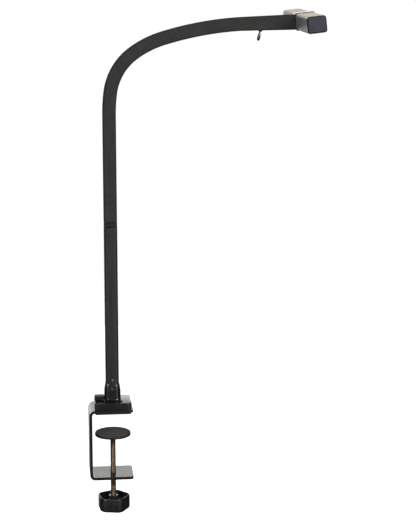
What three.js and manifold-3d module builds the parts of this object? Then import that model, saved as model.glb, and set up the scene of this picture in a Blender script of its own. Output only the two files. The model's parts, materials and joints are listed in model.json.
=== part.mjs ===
// Clamp-on architect desk lamp: a screw clamp with a base block, a square pole, a flexible neck in a
// rubber cover, and a short LED bar carried crosswise on the neck's end.
// Millimetres, +Z up. The origin is the middle of the jaw pad's underside, where the desk top goes.
// +X is the way the neck reaches, and the LED bar lies along Y.

import * as THREE from 'three';
import { mergeVertices } from 'three/addons/utils/BufferGeometryUtils.js';
import Module from 'manifold-3d';

const wasm = await Module();
wasm.setup();

// ---------------------------------------------------------------- driving dimensions

const GAP = 0.3;                 // running gap between neighbouring pieces
const SEAM = 0.05;               // between two pieces pressed or screwed together
const THREAD_GAP = 0.15;         // all round, between a screw's rod and the bore it turns in
const CLEAR = 1;                 // how far a cutting tool reaches past what it cuts

// clamp
const STRAP_WIDTH = 40;
const STRAP_THICKNESS = 3.2;
const STRAP_REACH = 22;          // from the pole's axis to the strap's free ends
const STRAP_CORNER = 4;
const SPINE_BACK = -26.5;        // the spine's outer face
const BEND_OUTER = 5.8;
const CLAMP_HEIGHT = 80.1;       // top of the upper strap to the bottom of the lower one
const JAW_PAD_SIZE = 39.6;
const JAW_PAD_THICKNESS = 1.5;
const JAW_PAD_CORNER = 2;

// clamp screw, pressure pad and knob
const SCREW_RADIUS = 3;
const SCREW_NECK_RADIUS = 1.9;   // the turned-down end that carries the pad
const SCREW_TIP_RADIUS = 3.2;    // the end peened over inside the pad
const BUSH_RADIUS = 6.5;         // the weld nut under the lower strap
const BUSH_HEIGHT = 3.5;
const PAD_TOP = -25.7;
const PAD_RADIUS = 20;
const PAD_FACING_THICKNESS = 1.2;
const PAD_PLATE_THICKNESS = 2;
const PAD_POCKET_RADIUS = 3.8;
const KNOB_TOP = -99.8;
const KNOB_HEIGHT = 16.2;
const KNOB_LOBES = 5;
const KNOB_LOBE_AT = 78;         // degrees from +X to the middle of one lobe
const KNOB_TIP_RADIUS = 18.3;
const KNOB_VALLEY_RADIUS = 16.3;
const KNOB_WALL = 2.3;
const KNOB_DISH = 10;            // depth of the hollow around the hub
const HUB_RADIUS = 7.5;
const HUB_DEPTH = 5.6;           // from the knob's rim down to the hub's top
const WASHER_RADIUS = 5.5;
const WASHER_THICKNESS = 0.8;
const NUT_ACROSS_CORNERS = 11.5;
const NUT_HEIGHT = 4.7;

// base block, inlet, pole socket and pole
const BLOCK_X = 40.4;
const BLOCK_Y = 35.5;
const BLOCK_HEIGHT = 7.4;
const BLOCK_WALL = 2.2;
const BLOCK_CORNER = 4;
const BOSS_RADIUS = 3.4;
const FLANGE_SIZE = 21.6;
const FLANGE_THICKNESS = 1.5;
const FLANGE_CORNER = 2;
const SOCKET_SIZE = 18;
const SOCKET_CORNER = 5.5;
const SOCKET_STRAIGHT = 10.5;
const SOCKET_TAPER = 6.8;
const SOCKET_FLOOR = 2;
const SOCKET_LIP = 0.45;         // the socket's wall at its thin upper end
const SET_SCREW_Z = 25.9;
const SET_SCREW_RADIUS = 1.3;
const RIVET_Z = 35.5;
const RIVET_HOLE_RADIUS = 1;
const POLE_SIZE = 14.6;
const POLE_CORNER = 3.4;
const POLE_WALL = 1.3;
const POLE_TOP = 207.6;
const COLLAR_HEIGHT = 5;
const LEAD_RADIUS = 1;
const LEAD_BEND = 3;

// neck: a straight stretch and four bends, then straight on to the head
const NECK_SIZE = 14.4;
const NECK_STRAIGHT = 116.4;
const NECK_BENDS = [
  { radius: 182, turn: 7.5 },
  { radius: 62, turn: 47 },
  { radius: 108, turn: 18.8 },
  { radius: 364, turn: 13.3 },
];
const FIRST_HINGE = 30;
const HINGE_PITCH = 50;
const HINGE_COUNT = 6;
const LAST_SECTION = 30;
const SPINE_RADIUS = 4.3;
const SPINE_BORE = 2.2;
const SPINE_SHORT = 1.9;         // left off each spine's end, so it clears the next one in a bend
const SPINE_TAIL = 9;            // the last spine's reach into the arm end
const NECK_BORE = 5;
const NECK_STEP = 9;             // longest straight piece used along a bend

// arm end with its switch, and the LED head
const ARM_END_HEIGHT = 16.2;
const ARM_END_WALL = 1.3;
const ARM_END_FACE_WALL = 2;
const SWITCH_X = 164;
const LEVER_TILT = 11;           // degrees from straight down, towards the pole
const HEAD_X = 211.6;
const HEAD_Z = 429;
const HEAD_TILT = 6.3;           // degrees, the outer side raised
const BAR_LENGTH = 164;
const BAR_WIDTH = 20.5;
const BAR_HEIGHT = 17.7;
const BAR_WALL = 1.2;
const BAR_CORNER = 2.6;
const BAR_LIP = 1;               // the flange on each side of the light's opening
const BAR_OPENING = 13.6;
const END_CAP = 2;
const CAP_CORNER = 3;
const BAND_WIDTH = 15;
const BAND_WALL = 0.5;
const BAND_CORNER = 1.6;
const PIVOT_RADIUS = 2.7;
const PIVOT_BORE = 1.6;
const PIVOT_HEAD_RADIUS = 4.4;
const LED_COUNT = 20;
const LED_PITCH = 7.6;

// ---------------------------------------------------------------- materials

const paint = (color, roughness, metalness = 0) =>
  new THREE.MeshStandardMaterial({ color, roughness, metalness });

const blackCoat = paint(0x1c1c1b, 0.35);
const satinTube = paint(0x242423, 0.42);
const blackPlastic = paint(0x1f1f1e, 0.5);
const neckRubber = paint(0x333332, 0.8);
const padRubber = paint(0x383634, 0.85);
const bronzeScrew = paint(0x6b5a45, 0.35, 1);
const brightSteel = paint(0xc9c9c6, 0.25, 1);
const darkSteel = paint(0x55534f, 0.4, 1);
const brass = paint(0xb08d4f, 0.3, 1);
const headAluminium = paint(0x2a2b2a, 0.38, 0.6);
const capPlastic = paint(0x4a4a4e, 0.45);
const circuitBoard = paint(0xf0f0ec, 0.5);
const opalDiffuser = paint(0xf2f1ea, 0.35);
const leadSheath = paint(0x202020, 0.6);

// ---------------------------------------------------------------- solid helpers

const lamp = new THREE.Group();
const WELD_DISTANCE = 1e-4;

function addPart(name, geometry, material, parent = lamp) {
  const mesh = new THREE.Mesh(geometry, material);
  mesh.name = name;
  parent.add(mesh);
}

function toSolid(geometry) {
  const bare = geometry.clone();
  bare.deleteAttribute('normal');
  bare.deleteAttribute('uv');
  const merged = mergeVertices(bare, WELD_DISTANCE);
  const corners = merged.index.array;
  const kept = [];
  for (let i = 0; i < corners.length; i += 3) {
    const [a, b, c] = corners.slice(i, i + 3);
    if (a !== b && b !== c && c !== a) kept.push(a, b, c);
  }
  return new wasm.Manifold(new wasm.Mesh({
    numProp: 3,
    vertProperties: new Float32Array(merged.attributes.position.array),
    triVerts: new Uint32Array(kept),
  }));
}

function toGeometry(solid) {
  const mesh = solid.getMesh();
  const geometry = new THREE.BufferGeometry();
  geometry.setAttribute('position', new THREE.BufferAttribute(mesh.vertProperties, 3));
  geometry.setIndex(new THREE.BufferAttribute(mesh.triVerts, 1));
  geometry.computeVertexNormals();
  return geometry;
}

const join = (...pieces) => toGeometry(pieces.map(toSolid).reduce((a, b) => a.add(b)));
const cut = (base, ...tools) =>
  toGeometry(tools.map(toSolid).reduce((a, b) => a.subtract(b), toSolid(base)));
const overlapOf = (a, b) => toGeometry(toSolid(a).intersect(toSolid(b)));

// a box between two corners
function block([x0, y0, z0], [x1, y1, z1]) {
  return new THREE.BoxGeometry(x1 - x0, y1 - y0, z1 - z0)
    .translate((x0 + x1) / 2, (y0 + y1) / 2, (z0 + z1) / 2);
}

// an upright round bar about the point x, y
function rod(radius, bottom, top, { x = 0, y = 0, sides = 16 } = {}) {
  return new THREE.CylinderGeometry(radius, radius, top - bottom, sides)
    .rotateX(Math.PI / 2)
    .translate(x, y, (bottom + top) / 2);
}

function tube(outer, inner, bottom, top, options = {}) {
  return cut(rod(outer, bottom, top, options), rod(inner, bottom - CLEAR, top + CLEAR, options));
}

// a solid of revolution about Z from [radius, height] pairs, starting and ending on the axis
function turned(profile, sides = 16) {
  const points = profile.map(([radius, height]) => new THREE.Vector2(radius, height));
  return new THREE.LatheGeometry(points, sides).rotateX(Math.PI / 2);
}

function roundedSquare(sizeX, sizeY, corner) {
  const x = sizeX / 2;
  const y = sizeY / 2;
  const r = corner;
  const shape = new THREE.Shape();
  shape.moveTo(-x + r, -y);
  shape.lineTo(x - r, -y);
  shape.absarc(x - r, -y + r, r, -Math.PI / 2, 0);
  shape.lineTo(x, y - r);
  shape.absarc(x - r, y - r, r, 0, Math.PI / 2);
  shape.lineTo(-x + r, y);
  shape.absarc(-x + r, y - r, r, Math.PI / 2, Math.PI);
  shape.lineTo(-x, -y + r);
  shape.absarc(-x + r, -y + r, r, Math.PI, 1.5 * Math.PI);
  return shape;
}

// a plan outline raised from bottom to top
function prism(shape, bottom, top, curveSegments = 4) {
  return new THREE.ExtrudeGeometry(shape, { depth: top - bottom, bevelEnabled: false, curveSegments })
    .translate(0, 0, bottom);
}

// a side outline in X and Z, given its width along Y
function sidePlate(shape, width, curveSegments = 6) {
  return new THREE.ExtrudeGeometry(shape, { depth: width, bevelEnabled: false, curveSegments })
    .rotateX(Math.PI / 2)
    .translate(0, width / 2, 0);
}

// a round outline with a set number of sides
function ring(radius, sides) {
  return new THREE.Shape(Array.from({ length: sides }, (_, i) => {
    const angle = (2 * Math.PI * i) / sides;
    return new THREE.Vector2(radius * Math.cos(angle), radius * Math.sin(angle));
  }));
}

const radians = THREE.MathUtils.degToRad;

// ---------------------------------------------------------------- heights that follow

const strapTop = JAW_PAD_THICKNESS + STRAP_THICKNESS;
const lowerBottom = strapTop - CLAMP_HEIGHT;
const lowerTop = lowerBottom + STRAP_THICKNESS;
const blockTop = strapTop + BLOCK_HEIGHT;
const blockCeiling = blockTop - BLOCK_WALL;
const flangeTop = blockTop + FLANGE_THICKNESS;
const collarTop = POLE_TOP + GAP + COLLAR_HEIGHT;
const neckBase = collarTop + GAP;
const neckLength = FIRST_HINGE + (HINGE_COUNT - 1) * HINGE_PITCH + LAST_SECTION;
const plateTop = PAD_TOP - PAD_FACING_THICKNESS;
const plateBottom = plateTop - PAD_PLATE_THICKNESS;
const screwBore = SCREW_RADIUS + THREAD_GAP;
const screwEnd = KNOB_TOP - KNOB_DISH;

// ---------------------------------------------------------------- clamp bracket

const BASE_SCREW_SPOTS = [[-14, -12], [14, -12], [-14, 12], [14, 12]];
const BASE_SCREW_SIDES = 12;
const SCREW_HEAD = { radius: 2.75, bottom: 1.9, rim: 2.2 };
const SCREW_SHANK = { radius: 1.25, bottom: 3.7, top: 8.3 };

// a countersunk screw standing on its head, or the hole it sits in when some room is added
function countersunk([x, y], room = 0) {
  const bottom = room > 0 ? 0 : SCREW_HEAD.bottom;
  const top = SCREW_SHANK.top + room;
  return turned([
    [0, bottom],
    [SCREW_HEAD.radius + room, bottom],
    [SCREW_HEAD.radius + room, SCREW_HEAD.rim],
    [SCREW_SHANK.radius + room, SCREW_SHANK.bottom],
    [SCREW_SHANK.radius + room, top],
    [0, top],
  ], BASE_SCREW_SIDES).translate(x, y, 0);
}

const baseScrewRooms = BASE_SCREW_SPOTS.map((spot) => countersunk(spot, GAP));

function bracketOutline() {
  const inner = BEND_OUTER - STRAP_THICKNESS;
  const bendX = SPINE_BACK + BEND_OUTER;
  const topBend = strapTop - BEND_OUTER;
  const lowBend = lowerBottom + BEND_OUTER;
  const half = Math.PI / 2;
  const shape = new THREE.Shape();
  shape.moveTo(STRAP_REACH, strapTop);
  shape.lineTo(bendX, strapTop);
  shape.absarc(bendX, topBend, BEND_OUTER, half, 2 * half);
  shape.absarc(bendX, lowBend, BEND_OUTER, 2 * half, 3 * half);
  shape.lineTo(STRAP_REACH, lowerBottom);
  shape.lineTo(STRAP_REACH, lowerTop);
  shape.absarc(bendX, lowBend, inner, 3 * half, 2 * half, true);
  shape.absarc(bendX, topBend, inner, 2 * half, half, true);
  shape.lineTo(STRAP_REACH, JAW_PAD_THICKNESS);
  return shape;
}

function strapPlan() {
  const y = STRAP_WIDTH / 2;
  const r = STRAP_CORNER;
  const shape = new THREE.Shape();
  shape.moveTo(SPINE_BACK - CLEAR, -y);
  shape.lineTo(STRAP_REACH - r, -y);
  shape.absarc(STRAP_REACH - r, -y + r, r, -Math.PI / 2, 0);
  shape.absarc(STRAP_REACH - r, y - r, r, 0, Math.PI / 2);
  shape.lineTo(SPINE_BACK - CLEAR, y);
  return shape;
}

function buildBracket() {
  const plan = prism(strapPlan(), lowerBottom - CLEAR, strapTop + CLEAR);
  const strap = overlapOf(sidePlate(bracketOutline(), STRAP_WIDTH + CLEAR), plan);
  const screwHole = rod(SCREW_RADIUS + GAP, lowerBottom - CLEAR, lowerTop + CLEAR);
  addPart('clamp_bracket', cut(strap, screwHole, ...baseScrewRooms), blackCoat);

  const padPlan = roundedSquare(JAW_PAD_SIZE, JAW_PAD_SIZE, JAW_PAD_CORNER);
  addPart('jaw_pad', prism(padPlan, 0, JAW_PAD_THICKNESS - SEAM), padRubber);

  const bushBottom = lowerBottom - BUSH_HEIGHT;
  addPart('screw_bush', tube(BUSH_RADIUS, screwBore, bushBottom, lowerBottom - SEAM), darkSteel);

  BASE_SCREW_SPOTS.forEach((spot, i) => {
    addPart(`base_screw_${i + 1}`, countersunk(spot), brightSteel);
  });
}

// ---------------------------------------------------------------- clamp screw, pressure pad, knob

const STAR_POINTS_PER_LOBE = 10;
const PAD_SIDES = 48;

function starOutline(inset) {
  const middle = (KNOB_TIP_RADIUS + KNOB_VALLEY_RADIUS) / 2 - inset;
  const swing = (KNOB_TIP_RADIUS - KNOB_VALLEY_RADIUS) / 2;
  const count = KNOB_LOBES * STAR_POINTS_PER_LOBE;
  return new THREE.Shape(Array.from({ length: count }, (_, i) => {
    const angle = (2 * Math.PI * i) / count;
    const radius = middle + swing * Math.cos(KNOB_LOBES * (angle - radians(KNOB_LOBE_AT)));
    return new THREE.Vector2(radius * Math.cos(angle), radius * Math.sin(angle));
  }));
}

function buildPressurePad() {
  const pocketTop = plateTop + 0.8;
  const pocket = rod(PAD_POCKET_RADIUS, plateTop - CLEAR, pocketTop);
  const facing = rod(PAD_RADIUS - GAP / 2, plateTop + SEAM, PAD_TOP, { sides: PAD_SIDES });
  addPart('pad_facing', cut(facing, pocket), padRubber);
  const hole = SCREW_NECK_RADIUS + GAP;
  addPart('pressure_plate', tube(PAD_RADIUS, hole, plateBottom, plateTop, { sides: PAD_SIDES }), blackCoat);
}

function buildScrew() {
  const shoulder = plateBottom - GAP;
  const tipBottom = plateTop + THREAD_GAP;
  const tipTop = plateTop + 0.5;
  addPart('clamp_screw', turned([
    [0, screwEnd],
    [SCREW_RADIUS, screwEnd],
    [SCREW_RADIUS, shoulder],
    [SCREW_NECK_RADIUS, shoulder],
    [SCREW_NECK_RADIUS, tipBottom],
    [SCREW_TIP_RADIUS, tipBottom],
    [SCREW_TIP_RADIUS, tipTop],
    [0, tipTop],
  ]), bronzeScrew);
}

// the dished star knob, with the washer and nut that hold it on its hub
function buildKnob() {
  const hubTop = KNOB_TOP - HUB_DEPTH;
  const dishFloor = KNOB_TOP - KNOB_DISH;
  const outside = prism(starOutline(0), KNOB_TOP - KNOB_HEIGHT, KNOB_TOP, 1);
  const dish = prism(starOutline(KNOB_WALL), dishFloor, KNOB_TOP + CLEAR, 1);
  const hub = rod(HUB_RADIUS, dishFloor - CLEAR, hubTop);
  const bore = rod(screwBore, screwEnd - GAP, KNOB_TOP + CLEAR);
  addPart('clamp_knob', cut(join(cut(outside, dish), hub), bore), blackPlastic);

  const washerBottom = hubTop + SEAM;
  const washerTop = washerBottom + WASHER_THICKNESS;
  addPart('knob_washer', tube(WASHER_RADIUS, screwBore, washerBottom, washerTop), darkSteel);
  const nutBottom = washerTop + SEAM;
  const nutTop = nutBottom + NUT_HEIGHT;
  const nut = rod(NUT_ACROSS_CORNERS / 2, nutBottom, nutTop, { sides: 6 });
  addPart('knob_nut', cut(nut, rod(screwBore, nutBottom - CLEAR, nutTop + CLEAR)), darkSteel);
}

// ---------------------------------------------------------------- base block, inlet and pole foot

const BOLT = { radius: 3.9, bore: 2.25, headRadius: 6, headHeight: 2.1, top: 6 };
const BOLT_NUT = { radius: 5.5, height: 3 };
const LEAD_DROP_X = -13;
const LEAD_HOLE_RADIUS = 1.6;

function buildBaseBlock() {
  const bottom = strapTop + SEAM;
  const inner = roundedSquare(BLOCK_X - 2 * BLOCK_WALL, BLOCK_Y - 2 * BLOCK_WALL, BLOCK_CORNER / 2);
  const shell = cut(
    prism(roundedSquare(BLOCK_X, BLOCK_Y, BLOCK_CORNER), bottom, blockTop),
    prism(inner, strapTop - CLEAR, blockCeiling),
  );
  const bosses = BASE_SCREW_SPOTS.map(([x, y]) =>
    rod(BOSS_RADIUS, bottom, blockCeiling + GAP, { x, y, sides: BASE_SCREW_SIDES }));
  const boltHole = rod(BOLT.radius + GAP, strapTop, blockTop + CLEAR);
  const leadHole = rod(LEAD_HOLE_RADIUS, strapTop, blockTop + CLEAR, { x: LEAD_DROP_X });
  addPart('base_block', cut(join(shell, ...bosses), boltHole, leadHole, ...baseScrewRooms), blackCoat);
}

const INLET = {
  left: -19.7, flangeSide: -11.1, right: -9.3, height: 5.4, depth: 8.8, roof: 1.4, boreRadius: 2.15,
};
const BARREL = { radius: 2, bore: 1.6, right: -15, floor: 0.8 };
const PIN_RADIUS = 0.6;

// the housing stands on the block and laps over the flange's edge
function buildInlet() {
  const half = INLET.depth / 2;
  const top = blockTop + INLET.height;
  const axisZ = blockTop + INLET.height / 2;
  const body = block([INLET.left, -half, blockTop + SEAM], [INLET.flangeSide, half, top]);
  const lap = block([INLET.flangeSide - CLEAR, -half, flangeTop + GAP], [INLET.right, half, top]);
  const alongX = (radius, from, to) => rod(radius, from, to, { sides: 20 })
    .rotateY(Math.PI / 2)
    .translate(0, 0, axisZ);
  const socket = alongX(INLET.boreRadius, INLET.left - CLEAR, BARREL.right + CLEAR);
  const leadRoom = block([-14.8, -2.4, blockTop - CLEAR], [-11.8, 2.4, top - INLET.roof]);
  addPart('inlet_housing', cut(join(body, lap), socket, leadRoom), blackPlastic);

  const barrelLeft = INLET.left + 0.2;
  const barrelFloor = BARREL.right - BARREL.floor;
  const barrel = alongX(BARREL.radius, barrelLeft, BARREL.right);
  addPart('inlet_barrel', cut(barrel, alongX(BARREL.bore, barrelLeft - CLEAR, barrelFloor)), brightSteel);
  addPart('inlet_pin', alongX(PIN_RADIUS, barrelLeft + CLEAR, barrelFloor - GAP), brass);
}

// a small bar along Y at a height on the pole's axis
function crosswise(radius, from, to, z) {
  return rod(radius, from, to)
    .rotateX(Math.PI / 2)
    .translate(0, 0, z);
}

function buildPoleSocket() {
  const inside = POLE_SIZE + GAP;
  const top = flangeTop + SOCKET_STRAIGHT + SOCKET_TAPER;
  const boltHole = rod(BOLT.radius + GAP, blockTop - CLEAR, flangeTop + SOCKET_FLOOR + CLEAR);
  const flange = prism(roundedSquare(FLANGE_SIZE, FLANGE_SIZE, FLANGE_CORNER), blockTop + SEAM, flangeTop);
  addPart('foot_flange', cut(flange, boltHole), blackCoat);

  const column = prism(roundedSquare(SOCKET_SIZE, SOCKET_SIZE, SOCKET_CORNER), flangeTop + SEAM, top);
  const taper = new THREE.CylinderGeometry(
    inside / Math.SQRT2 + SOCKET_LIP * Math.SQRT2, SOCKET_SIZE / Math.SQRT2, SOCKET_TAPER, 4)
    .rotateX(Math.PI / 2)
    .rotateZ(Math.PI / 4)
    .translate(0, 0, top - SOCKET_TAPER / 2);
  const lower = block([-SOCKET_SIZE, -SOCKET_SIZE, 0], [SOCKET_SIZE, SOCKET_SIZE, top - SOCKET_TAPER]);
  const outside = overlapOf(column, join(lower, taper));
  const poleRoom = prism(roundedSquare(inside, inside, POLE_CORNER), flangeTop + SOCKET_FLOOR, top + CLEAR);
  const screwHole = crosswise(SET_SCREW_RADIUS + GAP, 0, SOCKET_SIZE, SET_SCREW_Z);
  addPart('pole_socket', cut(outside, poleRoom, boltHole, screwHole), blackCoat);
  const screw = crosswise(SET_SCREW_RADIUS, POLE_SIZE / 2 + SEAM, SOCKET_SIZE / 2, SET_SCREW_Z);
  addPart('socket_screw', screw, darkSteel);
}

// the hollow bolt that holds the pole's foot to the block, with the lead running through it
function buildPoleBolt() {
  const headTop = blockCeiling - SEAM;
  const boltTop = flangeTop + BOLT.top;
  const shank = rod(BOLT.radius, headTop - CLEAR, boltTop);
  const boltHead = rod(BOLT.headRadius, headTop - BOLT.headHeight, headTop);
  const bore = rod(BOLT.bore, strapTop, boltTop + CLEAR);
  addPart('pole_bolt', cut(join(shank, boltHead), bore), brightSteel);
  const nutBottom = flangeTop + SOCKET_FLOOR + SEAM;
  const nut = tube(BOLT_NUT.radius, BOLT.radius + THREAD_GAP, nutBottom, nutBottom + BOLT_NUT.height);
  addPart('pole_bolt_nut', nut, brightSteel);
}

function buildPole() {
  const bottom = flangeTop + SOCKET_FLOOR + THREAD_GAP;
  const bore = POLE_SIZE - 2 * POLE_WALL;
  const pole = cut(
    prism(roundedSquare(POLE_SIZE, POLE_SIZE, POLE_CORNER), bottom, POLE_TOP),
    prism(roundedSquare(bore, bore, POLE_CORNER - POLE_WALL), bottom - CLEAR, POLE_TOP + CLEAR),
    crosswise(RIVET_HOLE_RADIUS, 0, POLE_SIZE, RIVET_Z),
  );
  addPart('pole_tube', pole, satinTube);
  const rivet = turned([[0, 6.4], [0.7, 6.4], [0.7, 7.4], [1.3, 7.4], [1, 7.9], [0, 8.1]])
    .rotateX(Math.PI / 2)
    .translate(0, 0, RIVET_Z);
  addPart('pole_rivet', rivet, darkSteel);
}

// ---------------------------------------------------------------- swivel between pole and neck

const SWIVEL_BUSH_LENGTH = 16;
const SPIGOT = { radius: 4.4, bore: 2, below: 3, grip: 10 };
const SPIGOT_CLIP = { radius: 5.6, thickness: 0.8 };

function buildSwivel() {
  const inside = POLE_SIZE - 2 * POLE_WALL - GAP;
  const bushBottom = POLE_TOP - SWIVEL_BUSH_LENGTH;
  const bush = prism(roundedSquare(inside, inside, POLE_CORNER - POLE_WALL), bushBottom, POLE_TOP);
  const bore = rod(SPIGOT.radius + THREAD_GAP, bushBottom - CLEAR, neckBase + CLEAR);
  addPart('swivel_bush', cut(bush, bore), blackPlastic);
  const collar = prism(roundedSquare(NECK_SIZE, NECK_SIZE, POLE_CORNER), POLE_TOP + GAP, collarTop);
  addPart('swivel_collar', cut(collar, bore), blackPlastic);

  const spigotTop = neckBase + SPIGOT.grip;
  const spigot = tube(SPIGOT.radius, SPIGOT.bore, bushBottom - SPIGOT.below, spigotTop);
  addPart('swivel_spigot', spigot, brightSteel);
  const clipTop = bushBottom - 2 * GAP;
  const clipBottom = clipTop - SPIGOT_CLIP.thickness;
  const clipBore = SPIGOT.radius + SEAM;
  addPart('swivel_clip', tube(SPIGOT_CLIP.radius, clipBore, clipBottom, clipTop), darkSteel);
}

// a curve through given points that keeps a section at each point
class Route extends THREE.Curve {
  constructor(points) {
    super();
    this.points = points;
  }

  getUtoTmapping(u) {
    return u;
  }

  getPoint(t) {
    const place = t * (this.points.length - 1);
    const i = Math.min(Math.floor(place), this.points.length - 2);
    return this.points[i].clone().lerp(this.points[i + 1], place - i);
  }

  getTangent(t) {
    const last = this.points.length - 1;
    const i = Math.round(t * last);
    const before = this.points[Math.max(i - 1, 0)];
    const after = this.points[Math.min(i + 1, last)];
    return after.clone().sub(before).normalize();
  }
}

// the low-voltage lead, from the inlet down into the block and up inside the pole
function buildLead() {
  const floor = strapTop + LEAD_RADIUS + SEAM;
  const steps = 4;
  const points = [new THREE.Vector3(LEAD_DROP_X, 0, blockTop + INLET.height / 2)];
  const quarterTurn = (middleX, startAngle) => {
    for (let i = 0; i <= steps; i += 1) {
      const angle = startAngle + (i * Math.PI) / (2 * steps);
      const x = middleX + LEAD_BEND * Math.cos(angle);
      const z = floor + LEAD_BEND * (1 + Math.sin(angle));
      points.push(new THREE.Vector3(x, 0, z));
    }
  };
  quarterTurn(LEAD_DROP_X + LEAD_BEND, Math.PI);
  quarterTurn(-LEAD_BEND, 1.5 * Math.PI);
  points.push(new THREE.Vector3(0, 0, neckBase));
  addPart('inner_lead', new THREE.ExtrudeGeometry(ring(LEAD_RADIUS, 8), {
    steps: points.length - 1, extrudePath: new Route(points), bevelEnabled: false,
  }), leadSheath);
}

// ---------------------------------------------------------------- flexible neck

// the neck's centre line at a length along it: its point in X and Z, and its heading
function neckAt(length) {
  let heading = Math.PI / 2;
  let x = 0;
  let z = neckBase + Math.min(length, NECK_STRAIGHT);
  let left = Math.max(length - NECK_STRAIGHT, 0);
  for (const { radius, turn } of NECK_BENDS) {
    const run = Math.min(left, radius * radians(turn));
    const next = heading - run / radius;
    x += radius * (Math.sin(heading) - Math.sin(next));
    z += radius * (Math.cos(next) - Math.cos(heading));
    heading = next;
    left -= run;
  }
  return { x: x + left * Math.cos(heading), z: z + left * Math.sin(heading), heading };
}

// a point beside the centre line, on its upper side for a positive offset
function beside(length, offset) {
  const { x, z, heading } = neckAt(length);
  return new THREE.Vector2(x - offset * Math.sin(heading), z + offset * Math.cos(heading));
}

class NeckLine extends THREE.Curve {
  constructor(from, to) {
    super();
    this.from = from;
    this.to = to;
  }

  getPoint(t) {
    const { x, z } = neckAt(this.from + t * (this.to - this.from));
    return new THREE.Vector3(x, 0, z);
  }
}

// a round bar along the neck's centre line
function alongNeck(radius, from, to, sides = 8) {
  return new THREE.ExtrudeGeometry(ring(radius, sides), {
    steps: Math.ceil((to - from) / NECK_STEP), extrudePath: new NeckLine(from, to), bevelEnabled: false,
  });
}

// points on an arc about a hinge, from one side of the neck to the other over its forward side
function hingeArc(length, radius, reach, steps = 8) {
  const { x, z, heading } = neckAt(length);
  const points = [];
  for (let i = 0; i <= steps; i += 1) {
    const angle = heading - reach + (2 * reach * i) / steps;
    points.push(new THREE.Vector2(x + radius * Math.cos(angle), z + radius * Math.sin(angle)));
  }
  return points;
}

// one rigid stretch of the cover: hollow end around the hinge below, round end about the one above
function sectionOutline(from, to, hollowStart, roundEnd) {
  const half = NECK_SIZE / 2;
  const cup = half + GAP;
  const lip = Math.sqrt(cup * cup - half * half);
  const start = hollowStart ? from + lip : from;
  const steps = Math.ceil((to - start) / NECK_STEP) + 1;
  const side = (offset) => Array.from({ length: steps + 1 }, (_, i) =>
    beside(start + ((to - start) * i) / steps, offset));
  const points = side(-half);
  if (roundEnd) points.push(...hingeArc(to, half, Math.PI / 2).slice(1, -1));
  points.push(...side(half).reverse());
  if (hollowStart) points.push(...hingeArc(from, cup, Math.acos(lip / cup)).reverse().slice(1, -1));
  return new THREE.Shape(points);
}

function buildNeck() {
  const half = NECK_SIZE / 2;
  for (let i = 0; i <= HINGE_COUNT; i += 1) {
    const first = i === 0;
    const last = i === HINGE_COUNT;
    const from = first ? 0 : FIRST_HINGE + (i - 1) * HINGE_PITCH;
    const to = last ? neckLength : FIRST_HINGE + i * HINGE_PITCH;
    const cover = sidePlate(sectionOutline(from, to, !first, !last), NECK_SIZE);
    const boreFrom = first ? -CLEAR : from + NECK_BORE;
    const boreTo = last ? to + CLEAR : to + half + CLEAR;
    addPart(`neck_cover_${i + 1}`, cut(cover, alongNeck(NECK_BORE, boreFrom, boreTo)), neckRubber);

    const spineFrom = first ? SPIGOT.grip + GAP : from + half + 2 * GAP;
    const spineTo = last ? to + SPINE_TAIL : to + half - SPINE_SHORT;
    const spine = cut(
      alongNeck(SPINE_RADIUS, spineFrom, spineTo),
      alongNeck(SPINE_BORE, spineFrom - CLEAR, spineTo + CLEAR, 6),
    );
    addPart(`neck_spine_${i + 1}`, spine, darkSteel);
  }
}

// ---------------------------------------------------------------- arm end and switch

const FERRULE = { radius: 5.1, length: 7.2 };
const SWITCH = {
  bushRadius: 2.1, bushBelow: 1.4, bushAbove: 4.2, pivotAbove: 2.2, length: 12, width: 7.2, height: 6.2,
};

const head = new THREE.Group();
head.position.set(HEAD_X, 0, HEAD_Z);
head.rotation.y = -radians(HEAD_TILT);
lamp.add(head);

const bandOuterX = BAR_WIDTH / 2 + SEAM + BAND_WALL;
const armEndFace = -bandOuterX - GAP;      // in the head's own frame

// a point of the head's own X and Z, in the lamp's frame
function fromHead(x, z) {
  const tilt = radians(HEAD_TILT);
  return new THREE.Vector2(
    HEAD_X + x * Math.cos(tilt) - z * Math.sin(tilt),
    HEAD_Z + x * Math.sin(tilt) + z * Math.cos(tilt),
  );
}

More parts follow.
